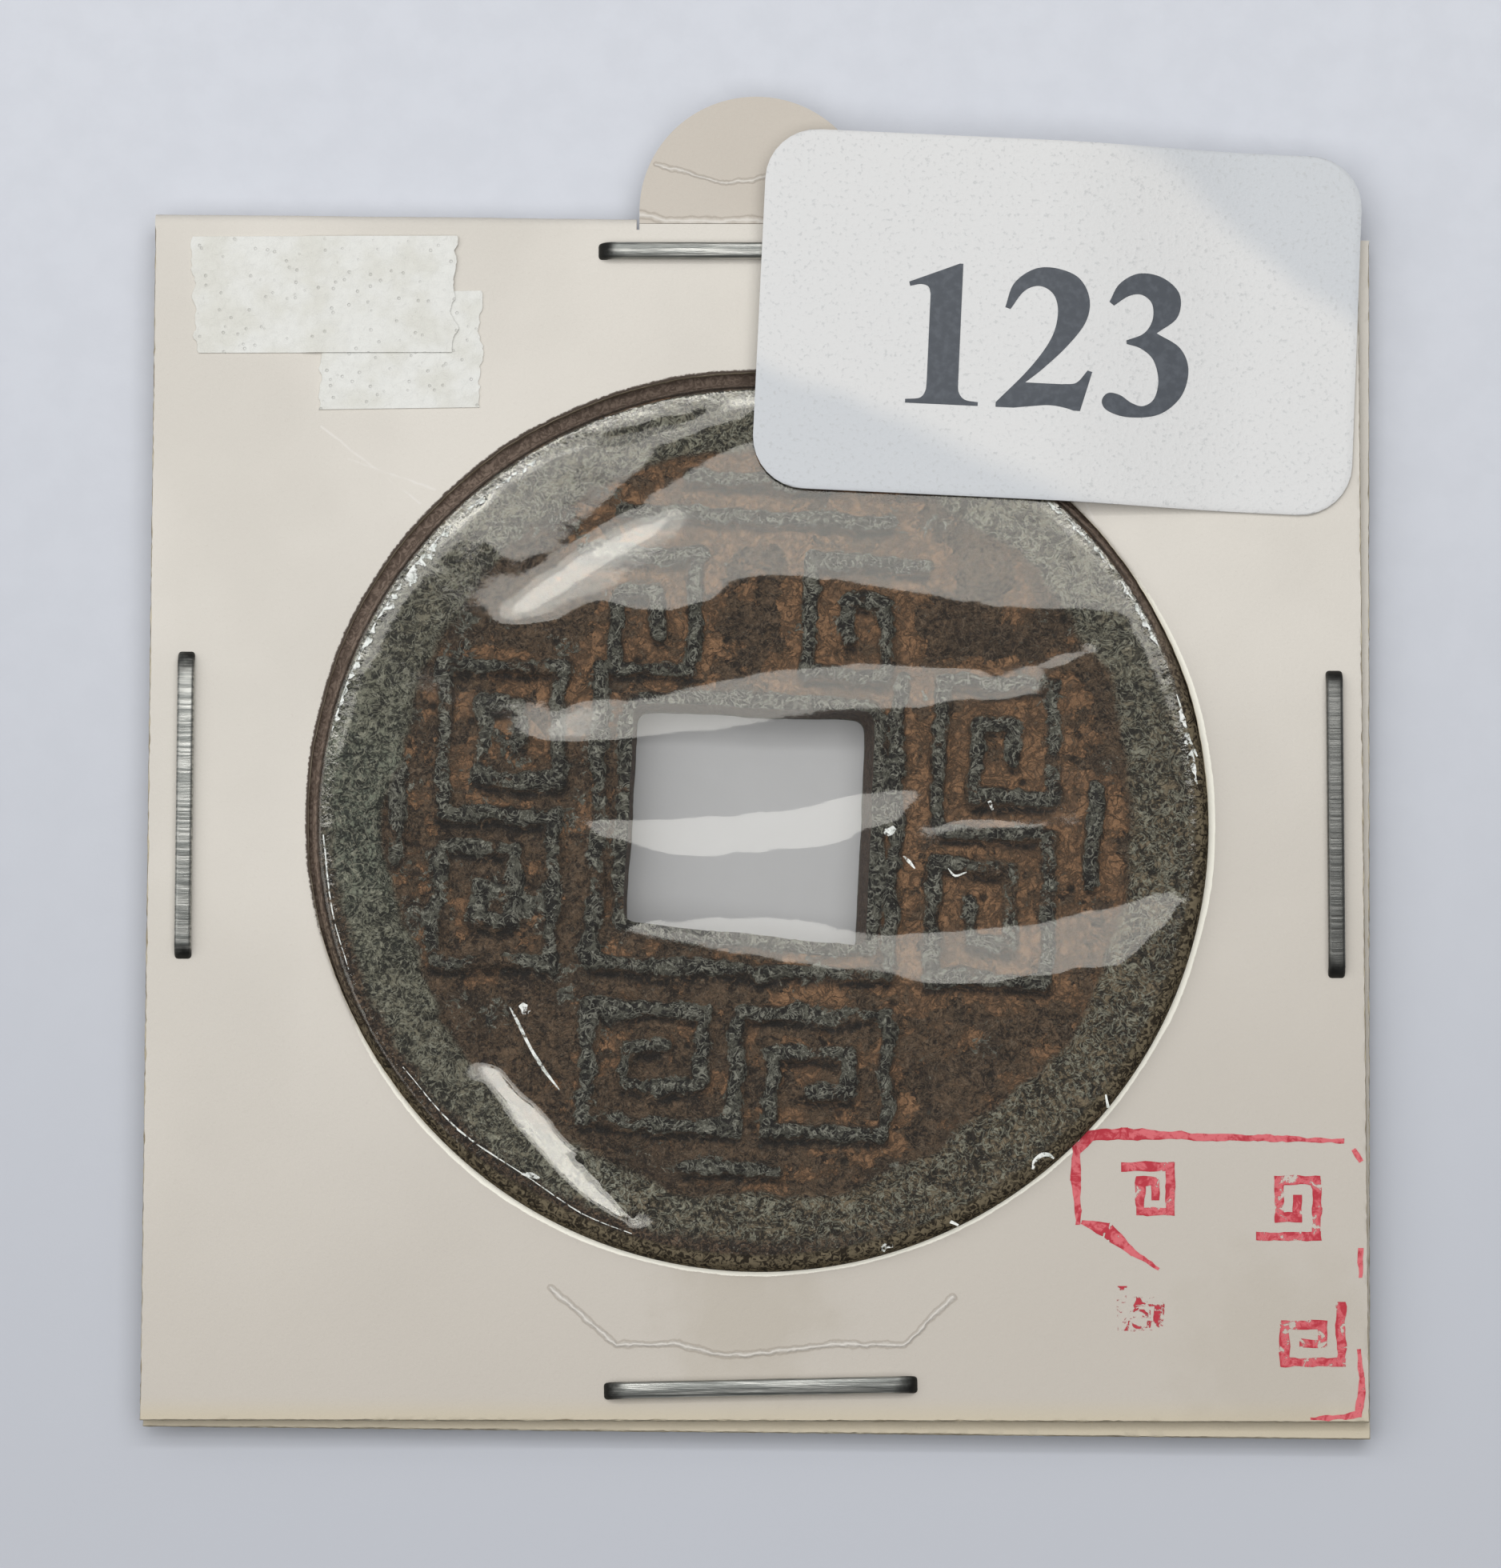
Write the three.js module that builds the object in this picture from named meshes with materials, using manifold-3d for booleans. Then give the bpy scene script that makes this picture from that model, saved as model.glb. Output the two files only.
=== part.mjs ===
// A cast bronze coin with a square hole, sealed between two clear films in a
// folded and stapled card holder, with an index tab, a lot label and two patches of tape.
// Millimetres, +Z up. The holder lies on its back. The origin is on the flat
// underside of the rear film, below the middle of the round window.

import * as THREE from "three";
import { mergeVertices } from "three/addons/utils/BufferGeometryUtils.js";
import Module from "manifold-3d";

const wasm = await Module();
wasm.setup();

// Driving sizes
const GAP = 0.03; // between two pieces that touch
const FILM = 0.06; // thickness of a film
const CARD = 0.45; // thickness of the card
const CARD_WIDTH = 50.8;
const WINDOW_RADIUS = 18.8;
const ROUND_STEPS = 96; // straight sides of a full circle

// The coin
const COIN_RADIUS = 18.3;
const COIN_THICKNESS = 2.6;
const COIN_CENTRE = { x: 0.1, y: -0.26 }; // it lies low in the window
const COIN_EDGE = 0.25; // rounding of its outer edge
const COIN_PLAY = 0.07; // room round its edge and faces
const RIM_WIDTH = 3.0;
const RIM_SLOPE = 0.35;
const FIELD_DEPTH = 0.45; // how far the field lies below the rim
const HOLE = { x: -0.62, y: 0.04, width: 9.5, height: 9.1 };
const HOLE_RIM = 0.5;
const HOLE_TURN = degrees(-2);
const RELIEF_DROP = 0.08; // the figures stop short of the rim's height

// The raised fret figures, drawn on a square grid
const STROKE = 0.95;
const PITCH = 1.6;
const FIGURE_REACH = 10.35; // from the middle of the hole to the middle of a figure

// Heights in the stack, from the rest face up
const COIN_LOW = FILM + 0.04;
const COIN_HIGH = COIN_LOW + COIN_THICKNESS;
const MIDDLE = (COIN_LOW + COIN_HIGH) / 2;
const FILM_TOP = COIN_HIGH + 0.04 + FILM;
const FLANGE_LOW = MIDDLE + GAP / 2; // the front film's flange between the cards
const FRONT_CARD_LOW = FLANGE_LOW + FILM + GAP;
const FRONT_FACE = FRONT_CARD_LOW + CARD;
const REAR_CARD_LOW = 2 * MIDDLE - FRONT_FACE;

// The folded card
const FRONT_LEFT = -25.5;
const FRONT_BOTTOM = -25.14;
const REAR_LEFT = -25.2;
const REAR_BOTTOM = -25.58;
const FOLD_EDGE = 25.58; // how high the fold reaches, above the middle of the window
const FOLD_SLANT = degrees(-0.5);
const FOLD_RADIUS = (FRONT_FACE - REAR_CARD_LOW) / 2;
const PANEL_TOP = FOLD_EDGE - FOLD_RADIUS - GAP;
const FILM_HALF = 23.1; // the films are square and stop inside the staples

// The index tab, which bends back at the crease until it meets the top staple's ends
const TAB = { x: -0.13, y: 25.9, radius: 4.95 };
const CREASE = 25.35;
const TAB_ROOM = 0.12;

// The staples: flat wire, its crown on the front and its ends turned in behind
const WIRE = { width: 0.7, thickness: 0.45 };
const CROWN = 13;
const TURNED_END = 4.2;
const LEG_ROOM = 0.08;
const STAPLES = [
  { name: "left_staple", x: -23.94, y: 0.52, turn: degrees(90) },
  { name: "right_staple", x: 24.1, y: -0.2, turn: degrees(90) },
  { name: "bottom_staple", x: 0.15, y: -23.77, turn: degrees(1.3) },
  { name: "top_staple", x: -0.29, y: 24.12, turn: 0 },
];

// What is stuck on the front
const LABEL = { x: 12.6, y: 21.03, width: 25.2, height: 15.4, corner: 2.2, thickness: 0.15, turn: degrees(-2.6) };
const LABEL_BEND = { from: 12, to: 21 }; // it leaves the coin and comes down to the card
const UPPER_TAPE = { x: -18.35, y: 22.25, width: 11.3, height: 5.0, turn: degrees(0.2) };
const LOWER_TAPE = { x: -15.14, y: 19.87, width: 7.2, height: 5.0, turn: degrees(0.9) };
const TAPE = 0.06;

const COLOURS = {
  bronze: { color: 0x5a4c3c, roughness: 0.75, metalness: 0.35 },
  card: { color: 0xd6d1c6, roughness: 0.9, metalness: 0 },
  film: { color: 0xe8ecec, roughness: 0.1, metalness: 0, transparent: true, opacity: 0.25 },
  steel: { color: 0x9a9a94, roughness: 0.35, metalness: 0.9 },
  label: { color: 0xd8dadc, roughness: 0.5, metalness: 0.1 },
  tape: { color: 0xdcddd8, roughness: 0.6, metalness: 0 },
};

function degrees(angle) {
  return (angle * Math.PI) / 180;
}

function turned(point, angle) {
  return point.clone().rotateAround(new THREE.Vector2(), angle);
}

function at(x, y) {
  return new THREE.Vector2(x, y);
}

// A closed geometry as a solid that can be joined and cut
function solidOf(geometry) {
  const bare = geometry.clone();
  bare.deleteAttribute("normal");
  bare.deleteAttribute("uv");
  const merged = mergeVertices(bare, 1e-5);
  return new wasm.Manifold(
    new wasm.Mesh({
      numProp: 3,
      vertProperties: new Float32Array(merged.attributes.position.array),
      triVerts: new Uint32Array(merged.index.array),
    }),
  );
}

function geometryOf(solid) {
  const mesh = solid.getMesh();
  const geometry = new THREE.BufferGeometry();
  geometry.setAttribute("position", new THREE.BufferAttribute(mesh.vertProperties, 3));
  geometry.setIndex(new THREE.BufferAttribute(mesh.triVerts, 1));
  geometry.computeVertexNormals();
  return geometry;
}

// A flat outline raised from one height to another
function prism(shape, low, high) {
  const geometry = new THREE.ExtrudeGeometry(shape, {
    depth: high - low,
    bevelEnabled: false,
    curveSegments: ROUND_STEPS / 2,
  });
  return geometry.translate(0, 0, low);
}

function circle(radius, x = 0, y = 0) {
  const points = new THREE.EllipseCurve(x, y, radius, radius).getPoints(ROUND_STEPS);
  points.pop();
  return new THREE.Path(points);
}

function rectangle(x, y, width, height, turn = 0) {
  const corners = [
    at(-width / 2, -height / 2),
    at(width / 2, -height / 2),
    at(width / 2, height / 2),
    at(-width / 2, height / 2),
  ];
  return corners.map((corner) => turned(corner, turn).add(at(x, y)));
}

// The coin: rimmed disc, square hole with its own low rim, four fret figures

function coinBlank() {
  const fieldLow = COIN_LOW + FIELD_DEPTH;
  const fieldHigh = COIN_HIGH - FIELD_DEPTH;
  const rimInside = COIN_RADIUS - RIM_WIDTH;
  const profile = [
    at(0, fieldLow),
    at(rimInside - RIM_SLOPE, fieldLow),
    at(rimInside, COIN_LOW),
    at(COIN_RADIUS - COIN_EDGE, COIN_LOW),
    at(COIN_RADIUS - COIN_EDGE / 4, COIN_LOW + COIN_EDGE),
    at(COIN_RADIUS, MIDDLE),
    at(COIN_RADIUS - COIN_EDGE / 4, COIN_HIGH - COIN_EDGE),
    at(COIN_RADIUS - COIN_EDGE, COIN_HIGH),
    at(rimInside, COIN_HIGH),
    at(rimInside - RIM_SLOPE, fieldHigh),
    at(0, fieldHigh),
  ];
  return new THREE.LatheGeometry(profile, ROUND_STEPS).rotateX(Math.PI / 2);
}

// A square spiral from its middle out: sides of 1, 1, 2, 2, 3 and 3 squares
function fret(x, y, mirror = 1) {
  const points = [at(x, y)];
  const heading = at(0, 1);
  for (let side = 0; side < 6; side += 1) {
    const last = points[points.length - 1];
    points.push(last.clone().addScaledVector(heading, 1 + Math.floor(side / 2)));
    heading.rotateAround(new THREE.Vector2(), (mirror * Math.PI) / 2);
  }
  return points;
}

// Two frets that end in one stroke, the second turned half round from the first
function doubleFret() {
  const upper = [...fret(0.5, 1.9), at(-1.5, 0)];
  const lower = upper.map((point) => at(-point.x, -point.y)).reverse();
  return [...upper, ...lower];
}

function bar(x, y, halfLength) {
  return [at(x - halfLength, y), at(x + halfLength, y)];
}

// Figures on the square grid, drawn as they stand above the hole
const FIGURES = {
  pair: [fret(-2.5, -1.5), fret(2.5, -1.5, -1), bar(0, 1.6, 3.5), bar(0, 2.6, 1.8)],
  double: [doubleFret().map((point) => at(point.y, -point.x)), bar(0, -2.6, 3.9), bar(0, 2.6, 1.2)],
};

// A stroke is a row of bars along a path, each long enough to fill the corners
function strokeSolids(points, low, high) {
  return points.slice(1).map((end, i) => {
    const start = points[i];
    const length = start.distanceTo(end) + STROKE;
    const bar = new THREE.BoxGeometry(length, STROKE, high - low);
    bar.rotateZ(end.clone().sub(start).angle());
    bar.translate((start.x + end.x) / 2, (start.y + end.y) / 2, (low + high) / 2);
    return solidOf(bar);
  });
}

// The four figures stand round the hole with their feet towards it
function figures() {
  const around = [FIGURES.pair, FIGURES.double, FIGURES.double, FIGURES.double];
  return around.flatMap((strokes, i) =>
    strokes.map((points) =>
      points.map((point) => {
        const standing = point.clone().multiplyScalar(PITCH).add(at(0, FIGURE_REACH));
        return turned(standing, HOLE_TURN + (i * Math.PI) / 2).add(at(HOLE.x, HOLE.y));
      }),
    ),
  );
}

function coinGeometry() {
  const hole = rectangle(HOLE.x, HOLE.y, HOLE.width, HOLE.height, HOLE_TURN);
  const rimWidth = HOLE.width + 2 * HOLE_RIM;
  const rimHeight = HOLE.height + 2 * HOLE_RIM;
  const rim = rectangle(HOLE.x, HOLE.y, rimWidth, rimHeight, HOLE_TURN);
  const reliefTop = COIN_HIGH - RELIEF_DROP;
  let coin = solidOf(coinBlank());
  coin = coin.add(solidOf(prism(new THREE.Shape(rim), COIN_LOW + RELIEF_DROP, reliefTop)));
  for (const points of figures()) {
    for (const bar of strokeSolids(points, MIDDLE, reliefTop)) coin = coin.add(bar);
  }
  return geometryOf(coin.subtract(solidOf(prism(new THREE.Shape(hole), -1, COIN_HIGH + 1))));
}

// The films: a flat square between the cards with a round pocket for the coin

function filmGeometry(pocketY) {
  const inside = COIN_RADIUS + COIN_PLAY;
  const outside = inside + FILM;
  const shoulder = COIN_EDGE;
  const profile = [
    at(0, FILM_TOP - FILM),
    at(inside - shoulder, FILM_TOP - FILM),
    at(inside, FILM_TOP - FILM - shoulder),
    at(inside, FLANGE_LOW),
    at(outside + 1, FLANGE_LOW),
    at(outside + 1, FLANGE_LOW + FILM),
    at(outside, FLANGE_LOW + FILM),
    at(outside, FILM_TOP - shoulder),
    at(outside - shoulder, FILM_TOP),
    at(0, FILM_TOP),
  ];
  const pocket = new THREE.LatheGeometry(profile, ROUND_STEPS).rotateX(Math.PI / 2);
  pocket.translate(COIN_CENTRE.x, pocketY, 0);
  const flange = new THREE.Shape(rectangle(0, 0, 2 * FILM_HALF, 2 * FILM_HALF));
  flange.holes.push(circle(outside + FILM, COIN_CENTRE.x, pocketY));
  const joined = solidOf(pocket).add(solidOf(prism(flange, FLANGE_LOW, FLANGE_LOW + FILM)));
  return geometryOf(joined);
}

// The rear film is made as a front one and turned over, top to bottom
function rearFilmGeometry() {
  return filmGeometry(-COIN_CENTRE.y).rotateX(Math.PI).translate(0, 0, 2 * MIDDLE);
}

// The card panels

function legHoles() {
  const across = WIRE.width + 2 * LEG_ROOM;
  const along = WIRE.thickness + 2 * LEG_ROOM;
  const reach = (CROWN - WIRE.thickness) / 2;
  return STAPLES.flatMap(({ x, y, turn }) =>
    [-reach, reach].map((offset) => {
      const leg = turned(at(offset, 0), turn);
      return new THREE.Shape(rectangle(x + leg.x, y + leg.y, along, across, turn));
    }),
  );
}

// A panel from its outline, with the window and the staples' holes cut through it
function panelGeometry(outline, low) {
  const cuts = [new THREE.Shape(circle(WINDOW_RADIUS).getPoints()), ...legHoles()];
  let panel = solidOf(prism(new THREE.Shape(outline), low, low + CARD));
  for (const cut of cuts) panel = panel.subtract(solidOf(prism(cut, low - 1, low + CARD + 1)));
  return geometryOf(panel);
}

function panelTop(x) {
  return PANEL_TOP + Math.tan(FOLD_SLANT) * x;
}

function frontCardGeometry() {
  const right = FRONT_LEFT + CARD_WIDTH;
  const tabLeft = TAB.x - TAB.radius;
  const tabRight = TAB.x + TAB.radius;
  const outline = [
    at(FRONT_LEFT, FRONT_BOTTOM),
    at(right, FRONT_BOTTOM),
    at(right, panelTop(right)),
    at(tabRight, panelTop(tabRight)),
    at(tabRight, CREASE - GAP),
    at(tabLeft, CREASE - GAP),
    at(tabLeft, panelTop(tabLeft)),
    at(FRONT_LEFT, panelTop(FRONT_LEFT)),
  ];
  return panelGeometry(outline, FRONT_CARD_LOW);
}

// The rear panel lies slightly askew, and has the half-round gap that the tab was cut from
function rearCardGeometry() {
  const right = REAR_LEFT + CARD_WIDTH;
  const radius = TAB.radius + TAB_ROOM;
  const gapCentre = 2 * CREASE - TAB.y;
  const outline = [at(REAR_LEFT, REAR_BOTTOM), at(right, REAR_BOTTOM), at(right, PANEL_TOP)];
  const gap = new THREE.EllipseCurve(TAB.x, gapCentre, radius, radius, 0, Math.PI, true);
  const corners = [at(TAB.x + radius, PANEL_TOP), ...gap.getPoints(24), at(TAB.x - radius, PANEL_TOP)];
  outline.push(...corners, at(REAR_LEFT, PANEL_TOP));
  const askew = outline.map((point) => turned(point, FOLD_SLANT));
  return panelGeometry(askew, REAR_CARD_LOW);
}

// A length of the fold, where the card turns round from the front to the back
function foldGeometry(left, right) {
  const shape = new THREE.Shape();
  shape.absarc(0, 0, FOLD_RADIUS, -Math.PI / 2, Math.PI / 2, false);
  shape.absarc(0, 0, FOLD_RADIUS - CARD, Math.PI / 2, -Math.PI / 2, true);
  const bend = new THREE.ExtrudeGeometry(shape, { depth: right - left, bevelEnabled: false, curveSegments: 12 });
  return bend.rotateX(Math.PI / 2).rotateZ(Math.PI / 2).translate(left, 0, 0);
}

function tabGeometry() {
  const shape = new THREE.Shape();
  shape.absarc(TAB.x, TAB.y, TAB.radius - GAP, 0, Math.PI, false);
  shape.lineTo(TAB.x - TAB.radius + GAP, CREASE + GAP);
  shape.lineTo(TAB.x + TAB.radius - GAP, CREASE + GAP);
  return prism(shape, FRONT_CARD_LOW, FRONT_FACE);
}

// A staple seen from its side: crown above the front card, ends turned in below the rear one
function stapleGeometry() {
  const half = CROWN / 2;
  const top = FRONT_FACE + GAP + WIRE.thickness;
  const low = REAR_CARD_LOW - GAP - WIRE.thickness;
  const round = 0.3;
  const quarter = Math.PI / 2;
  const shape = new THREE.Shape();
  shape.absarc(half - round, top - round, round, 0, quarter, false);
  shape.absarc(-half + round, top - round, round, quarter, 2 * quarter, false);
  shape.absarc(-half + round, low + round, round, 2 * quarter, 3 * quarter, false);
  shape.lineTo(-half + TURNED_END, low);
  shape.lineTo(-half + TURNED_END, low + WIRE.thickness);
  shape.lineTo(-half + WIRE.thickness, low + WIRE.thickness);
  shape.lineTo(-half + WIRE.thickness, top - WIRE.thickness);
  shape.lineTo(half - WIRE.thickness, top - WIRE.thickness);
  shape.lineTo(half - WIRE.thickness, low + WIRE.thickness);
  shape.lineTo(half - TURNED_END, low + WIRE.thickness);
  shape.lineTo(half - TURNED_END, low);
  shape.absarc(half - round, low + round, round, 3 * quarter, 4 * quarter, false);
  const wire = new THREE.ExtrudeGeometry(shape, { depth: WIRE.width, bevelEnabled: false, curveSegments: 3 });
  return wire.translate(0, 0, -WIRE.width / 2).rotateX(Math.PI / 2);
}

// A thin sheet whose height changes along its width, cut to an outline
function bentSheet(outline, width, height, thickness, rise, steps = 28) {
  const low = [];
  for (let i = 0; i <= steps; i += 1) {
    const x = (i / steps - 0.5) * width * 1.02;
    low.push(at(x, rise(x)));
  }
  const high = low.map((point) => at(point.x, point.y + thickness)).reverse();
  const side = new THREE.Shape([...low, ...high]);
  const sheet = new THREE.ExtrudeGeometry(side, { depth: height * 1.1, bevelEnabled: false });
  sheet.translate(0, 0, -height * 0.55).rotateX(Math.PI / 2);
  return geometryOf(solidOf(sheet).intersect(solidOf(prism(outline, 0, 10))));
}

function roundedOutline({ width, height, corner }) {
  const x = width / 2 - corner;
  const y = height / 2 - corner;
  const quarter = Math.PI / 2;
  const arcs = [at(x, y), at(-x, y), at(-x, -y), at(x, -y)].map((centre, i) => {
    const from = i * quarter;
    return new THREE.EllipseCurve(centre.x, centre.y, corner, corner, from, from + quarter);
  });
  return new THREE.Shape(arcs.flatMap((arc) => arc.getPoints(8)));
}

function smooth(from, to, value) {
  return THREE.MathUtils.smoothstep(value, from, to);
}

// The label rests on the film over the coin at its left and on the card at its right
function labelGeometry() {
  const over = FILM_TOP + 0.07;
  const flat = FRONT_FACE + 2 * GAP;
  const rise = (x) => over + (flat - over) * smooth(LABEL_BEND.from, LABEL_BEND.to, x + LABEL.x);
  return bentSheet(roundedOutline(LABEL), LABEL.width, LABEL.height, LABEL.thickness, rise);
}

function lowerTapeGeometry() {
  const low = FRONT_FACE + GAP;
  return prism(new THREE.Shape(rectangle(0, 0, LOWER_TAPE.width, LOWER_TAPE.height)), low, low + TAPE);
}

// The upper patch lies on the card and steps up over the lower one
function upperTapeGeometry() {
  const step = LOWER_TAPE.x - LOWER_TAPE.width / 2 - UPPER_TAPE.x;
  const low = FRONT_FACE + GAP;
  const rise = (x) => low + (TAPE + GAP) * smooth(step - 0.7, step - 0.2, x);
  const outline = new THREE.Shape(rectangle(0, 0, UPPER_TAPE.width, UPPER_TAPE.height));
  return bentSheet(outline, UPPER_TAPE.width, UPPER_TAPE.height, TAPE, rise, 60);
}

function piece(name, geometry, finish) {
  const mesh = new THREE.Mesh(geometry, new THREE.MeshStandardMaterial(COLOURS[finish]));
  mesh.name = name;
  return mesh;
}

function placed(mesh, x, y, turn = 0, z = 0) {
  mesh.position.set(x, y, z);
  mesh.rotation.z = turn;
  return mesh;
}

function foldGroup() {
  const left = piece("card_fold_left", foldGeometry(FRONT_LEFT, TAB.x - TAB.radius - TAB_ROOM), "card");
  const right = piece("card_fold_right", foldGeometry(TAB.x + TAB.radius + TAB_ROOM, FRONT_LEFT + CARD_WIDTH), "card");
  const group = new THREE.Group();
  group.add(left, right);
  return placed(group, 0, FOLD_EDGE - FOLD_RADIUS, FOLD_SLANT, MIDDLE);
}

const holder = new THREE.Group();
holder.add(
  placed(piece("coin", coinGeometry(), "bronze"), COIN_CENTRE.x, COIN_CENTRE.y),
  piece("front_card", frontCardGeometry(), "card"),
  piece("rear_card", rearCardGeometry(), "card"),
  foldGroup(),
  piece("index_tab", tabGeometry(), "card"),
  piece("front_film", filmGeometry(COIN_CENTRE.y), "film"),
  piece("rear_film", rearFilmGeometry(), "film"),
  ...STAPLES.map(({ name, x, y, turn }) => placed(piece(name, stapleGeometry(), "steel"), x, y, turn)),
  placed(piece("lot_label", labelGeometry(), "label"), LABEL.x, LABEL.y, LABEL.turn),
  placed(piece("upper_tape", upperTapeGeometry(), "tape"), UPPER_TAPE.x, UPPER_TAPE.y, UPPER_TAPE.turn),
  placed(piece("lower_tape", lowerTapeGeometry(), "tape"), LOWER_TAPE.x, LOWER_TAPE.y, LOWER_TAPE.turn),
);

export default holder;
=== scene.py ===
"""A cast bronze coin with a square hole, sealed between two wrinkled films in a stapled card
holder, with an index tab, a lot label and two patches of tape.

Sizes are in millimetres and become metres where a mesh or a lamp is made. The origin is on
the rest face, below the middle of the holder's round window, and +Y runs up to the tab.
"""

import math

import bpy
import numpy as np
from mathutils import Matrix, Vector
from mathutils.geometry import delaunay_2d_cdt


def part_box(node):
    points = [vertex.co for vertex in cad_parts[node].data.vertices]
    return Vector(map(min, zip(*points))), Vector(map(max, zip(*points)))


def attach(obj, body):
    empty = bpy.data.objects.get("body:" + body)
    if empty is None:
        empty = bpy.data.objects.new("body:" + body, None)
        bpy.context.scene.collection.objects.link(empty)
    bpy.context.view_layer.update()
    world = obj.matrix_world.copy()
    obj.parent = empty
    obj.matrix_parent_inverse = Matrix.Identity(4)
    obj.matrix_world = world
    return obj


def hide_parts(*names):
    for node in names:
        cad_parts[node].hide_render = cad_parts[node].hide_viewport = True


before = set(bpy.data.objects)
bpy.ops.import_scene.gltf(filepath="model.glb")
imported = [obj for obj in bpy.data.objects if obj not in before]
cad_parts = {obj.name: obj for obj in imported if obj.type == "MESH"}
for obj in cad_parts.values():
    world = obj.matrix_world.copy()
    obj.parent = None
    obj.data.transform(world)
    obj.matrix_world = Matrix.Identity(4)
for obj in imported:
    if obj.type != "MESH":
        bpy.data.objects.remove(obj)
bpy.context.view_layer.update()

MM = 0.001

# Faces that meet at more than this angle have a sharp edge between them
SHARP = math.radians(50)


def extent(node):
    """Lowest and highest corner of a CAD node, in millimetres."""
    low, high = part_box(node)
    return np.array(low) / MM, np.array(high) / MM


# The stack, from the frame
COIN_BOX = extent("coin")
FRONT_CARD = extent("front_card")
REAR_CARD = extent("rear_card")
FRONT_FILM = extent("front_film")
COIN_MIDDLE = (COIN_BOX[0] + COIN_BOX[1]) / 2
COIN_RADIUS = (COIN_BOX[1][1] - COIN_BOX[0][1]) / 2
CARD_FACE = FRONT_CARD[1][2]

# Thickness of the card and of the films, whose flanges lie a hair apart
CARD = 0.45
FILM = 0.06
HALF_GAP = 0.015

# How far the coin reaches at its faces, and at the casting seam between them
RIM_REACH = COIN_RADIUS + 0.12
SEAM_REACH = COIN_RADIUS + 0.3

# The pocket that the films have for the coin, with a round shoulder between its flat and its wall
FILM_REST = COIN_BOX[1][2] + 0.04
POCKET_RADIUS = SEAM_REACH + 0.06
FLAT_RADIUS = POCKET_RADIUS - 0.45

# The coin's hole: its corners in front, how far each has moved at the back, how many points
# round a corner are worn on either side, and the width of the hole's low rim
HOLE_CORNERS = [(-5.75, -4.2), (4.34, -5.15), (4.81, 4.72), (-5.27, 4.98)]
HOLE_TAPER = [(0.1, 0.05), (-0.42, 0.08), (-0.4, -0.06), (0.15, -0.05)]
HOLE_ROUNDING = 9
HOLE_RIM = 0.5

# The coin's rim, and its field, which lies lower and has forms cast on it
RIM_INSIDE = 16
RIM_SLOPE = 0.9
WORN_EDGE = 0.06
FIELD_DEPTH = 0.45
RELIEF = 0.37

# The cast strokes: their width, the side of a fret's square, and where the figures stand
STROKE = 0.68
PITCH = 1.6
FIGURE_REACH = 10.35
FIGURE_MIDDLE = (-0.62, 0.04)
FIGURE_TURN = math.radians(-2)

# The card: its window, its panels, the fold that slants a little, and the tab on its crease
WINDOW_RADIUS = 18.8
FRONT_LEFT = FRONT_CARD[0][0]
FRONT_RIGHT = FRONT_CARD[1][0]
FRONT_BOTTOM = FRONT_CARD[0][1]
REAR_LEFT = -25.2
REAR_BOTTOM = -25.58
FOLD_SLANT = math.radians(-0.5)
FOLD_START = 25.025
TAB_MIDDLE = -0.13
TAB_HEART = 25.9
TAB_RADIUS = 4.92
TAB_ROOM = 0.12
CREASE = 25.35

# Ways from the window's middle: to where its worn lip is widest and painted lit, and to where it is cut
# wide
WORN_AND_LIT_LIP = (0.5, -0.87)
WIDE_CUT = (-0.42, 0.91)

# Staples: place of the middle of the crown, and its turn in degrees
STAPLES = {
    "left_staple": (-23.94, 0.52, 90),
    "right_staple": (24.1, -0.2, 90),
    "bottom_staple": (0.15, -23.77, 1.3),
    "top_staple": (-0.29, 24.12, 0),
}
WIRE_WIDTH = 0.7
WIRE_THICKNESS = 0.45
WIRE_BEND = 0.42
WIRE_CORNER = 0.14
WIRE_LIFT = 0.03
CROWN = 13.0
TURNED_END = 4.2

# Stuck on the front: place of the middle, width, height and turn in degrees
LABEL = (12.6, 21.03, 25.2, 15.4, -2.6)
UPPER_TAPE = (-18.35, 22.25, 11.3, 5.0, 0.2)
LOWER_TAPE = (-15.14, 19.87, 7.2, 5.0, 0.9)
LABEL_CORNER = 2.2
LABEL_BEND = (12, 21)
LABEL_THICKNESS = 0.15
TAPE_THICKNESS = 0.05
INK = 0.012
HAIR = 0.004

# Where the picture is taken from: the point it looks at, its distance, lean and roll
VIEW_POINT = (-0.317, 1.44, 1.955)
VIEW_DISTANCE = 320
VIEW_LEAN = math.radians(8.1)
VIEW_ROLL = math.radians(0.106)
VIEW_LENS = 175.8

# Most lamps hang level at this height
LAMP_HEIGHT = 550


# Plain maths on arrays


def between(low, high, value):
    """A soft step from 0 at low to 1 at high."""
    t = np.clip((np.asarray(value, float) - low) / (high - low), 0, 1)
    return t * t * (3 - 2 * t)


def lumps(x, y, size, seed):
    """Smooth noise from -1 to 1, with lumps of about this size."""
    table = np.random.default_rng(seed).uniform(-1, 1, (256, 256))
    u = np.asarray(x) / size
    v = np.asarray(y) / size
    i = np.floor(u).astype(int)
    j = np.floor(v).astype(int)
    fu = between(0, 1, u - i)
    fv = between(0, 1, v - j)
    low = table[i % 256, j % 256] * (1 - fu) + table[(i + 1) % 256, j % 256] * fu
    high = table[i % 256, (j + 1) % 256] * (1 - fu) + table[(i + 1) % 256, (j + 1) % 256] * fu
    return low * (1 - fv) + high * fv


def roughness_field(x, y, size, seed, layers=4):
    """Noise with finer and finer lumps laid over each other."""
    total = 0
    for layer in range(layers):
        total = total + lumps(x, y, size / 2**layer, seed + layer) / 2**layer
    return total


def turned(points, angle):
    """Points turned about the origin, anticlockwise in radians."""
    c = math.cos(angle)
    s = math.sin(angle)
    return np.asarray(points) @ np.array([[c, s], [-s, c]])


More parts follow.
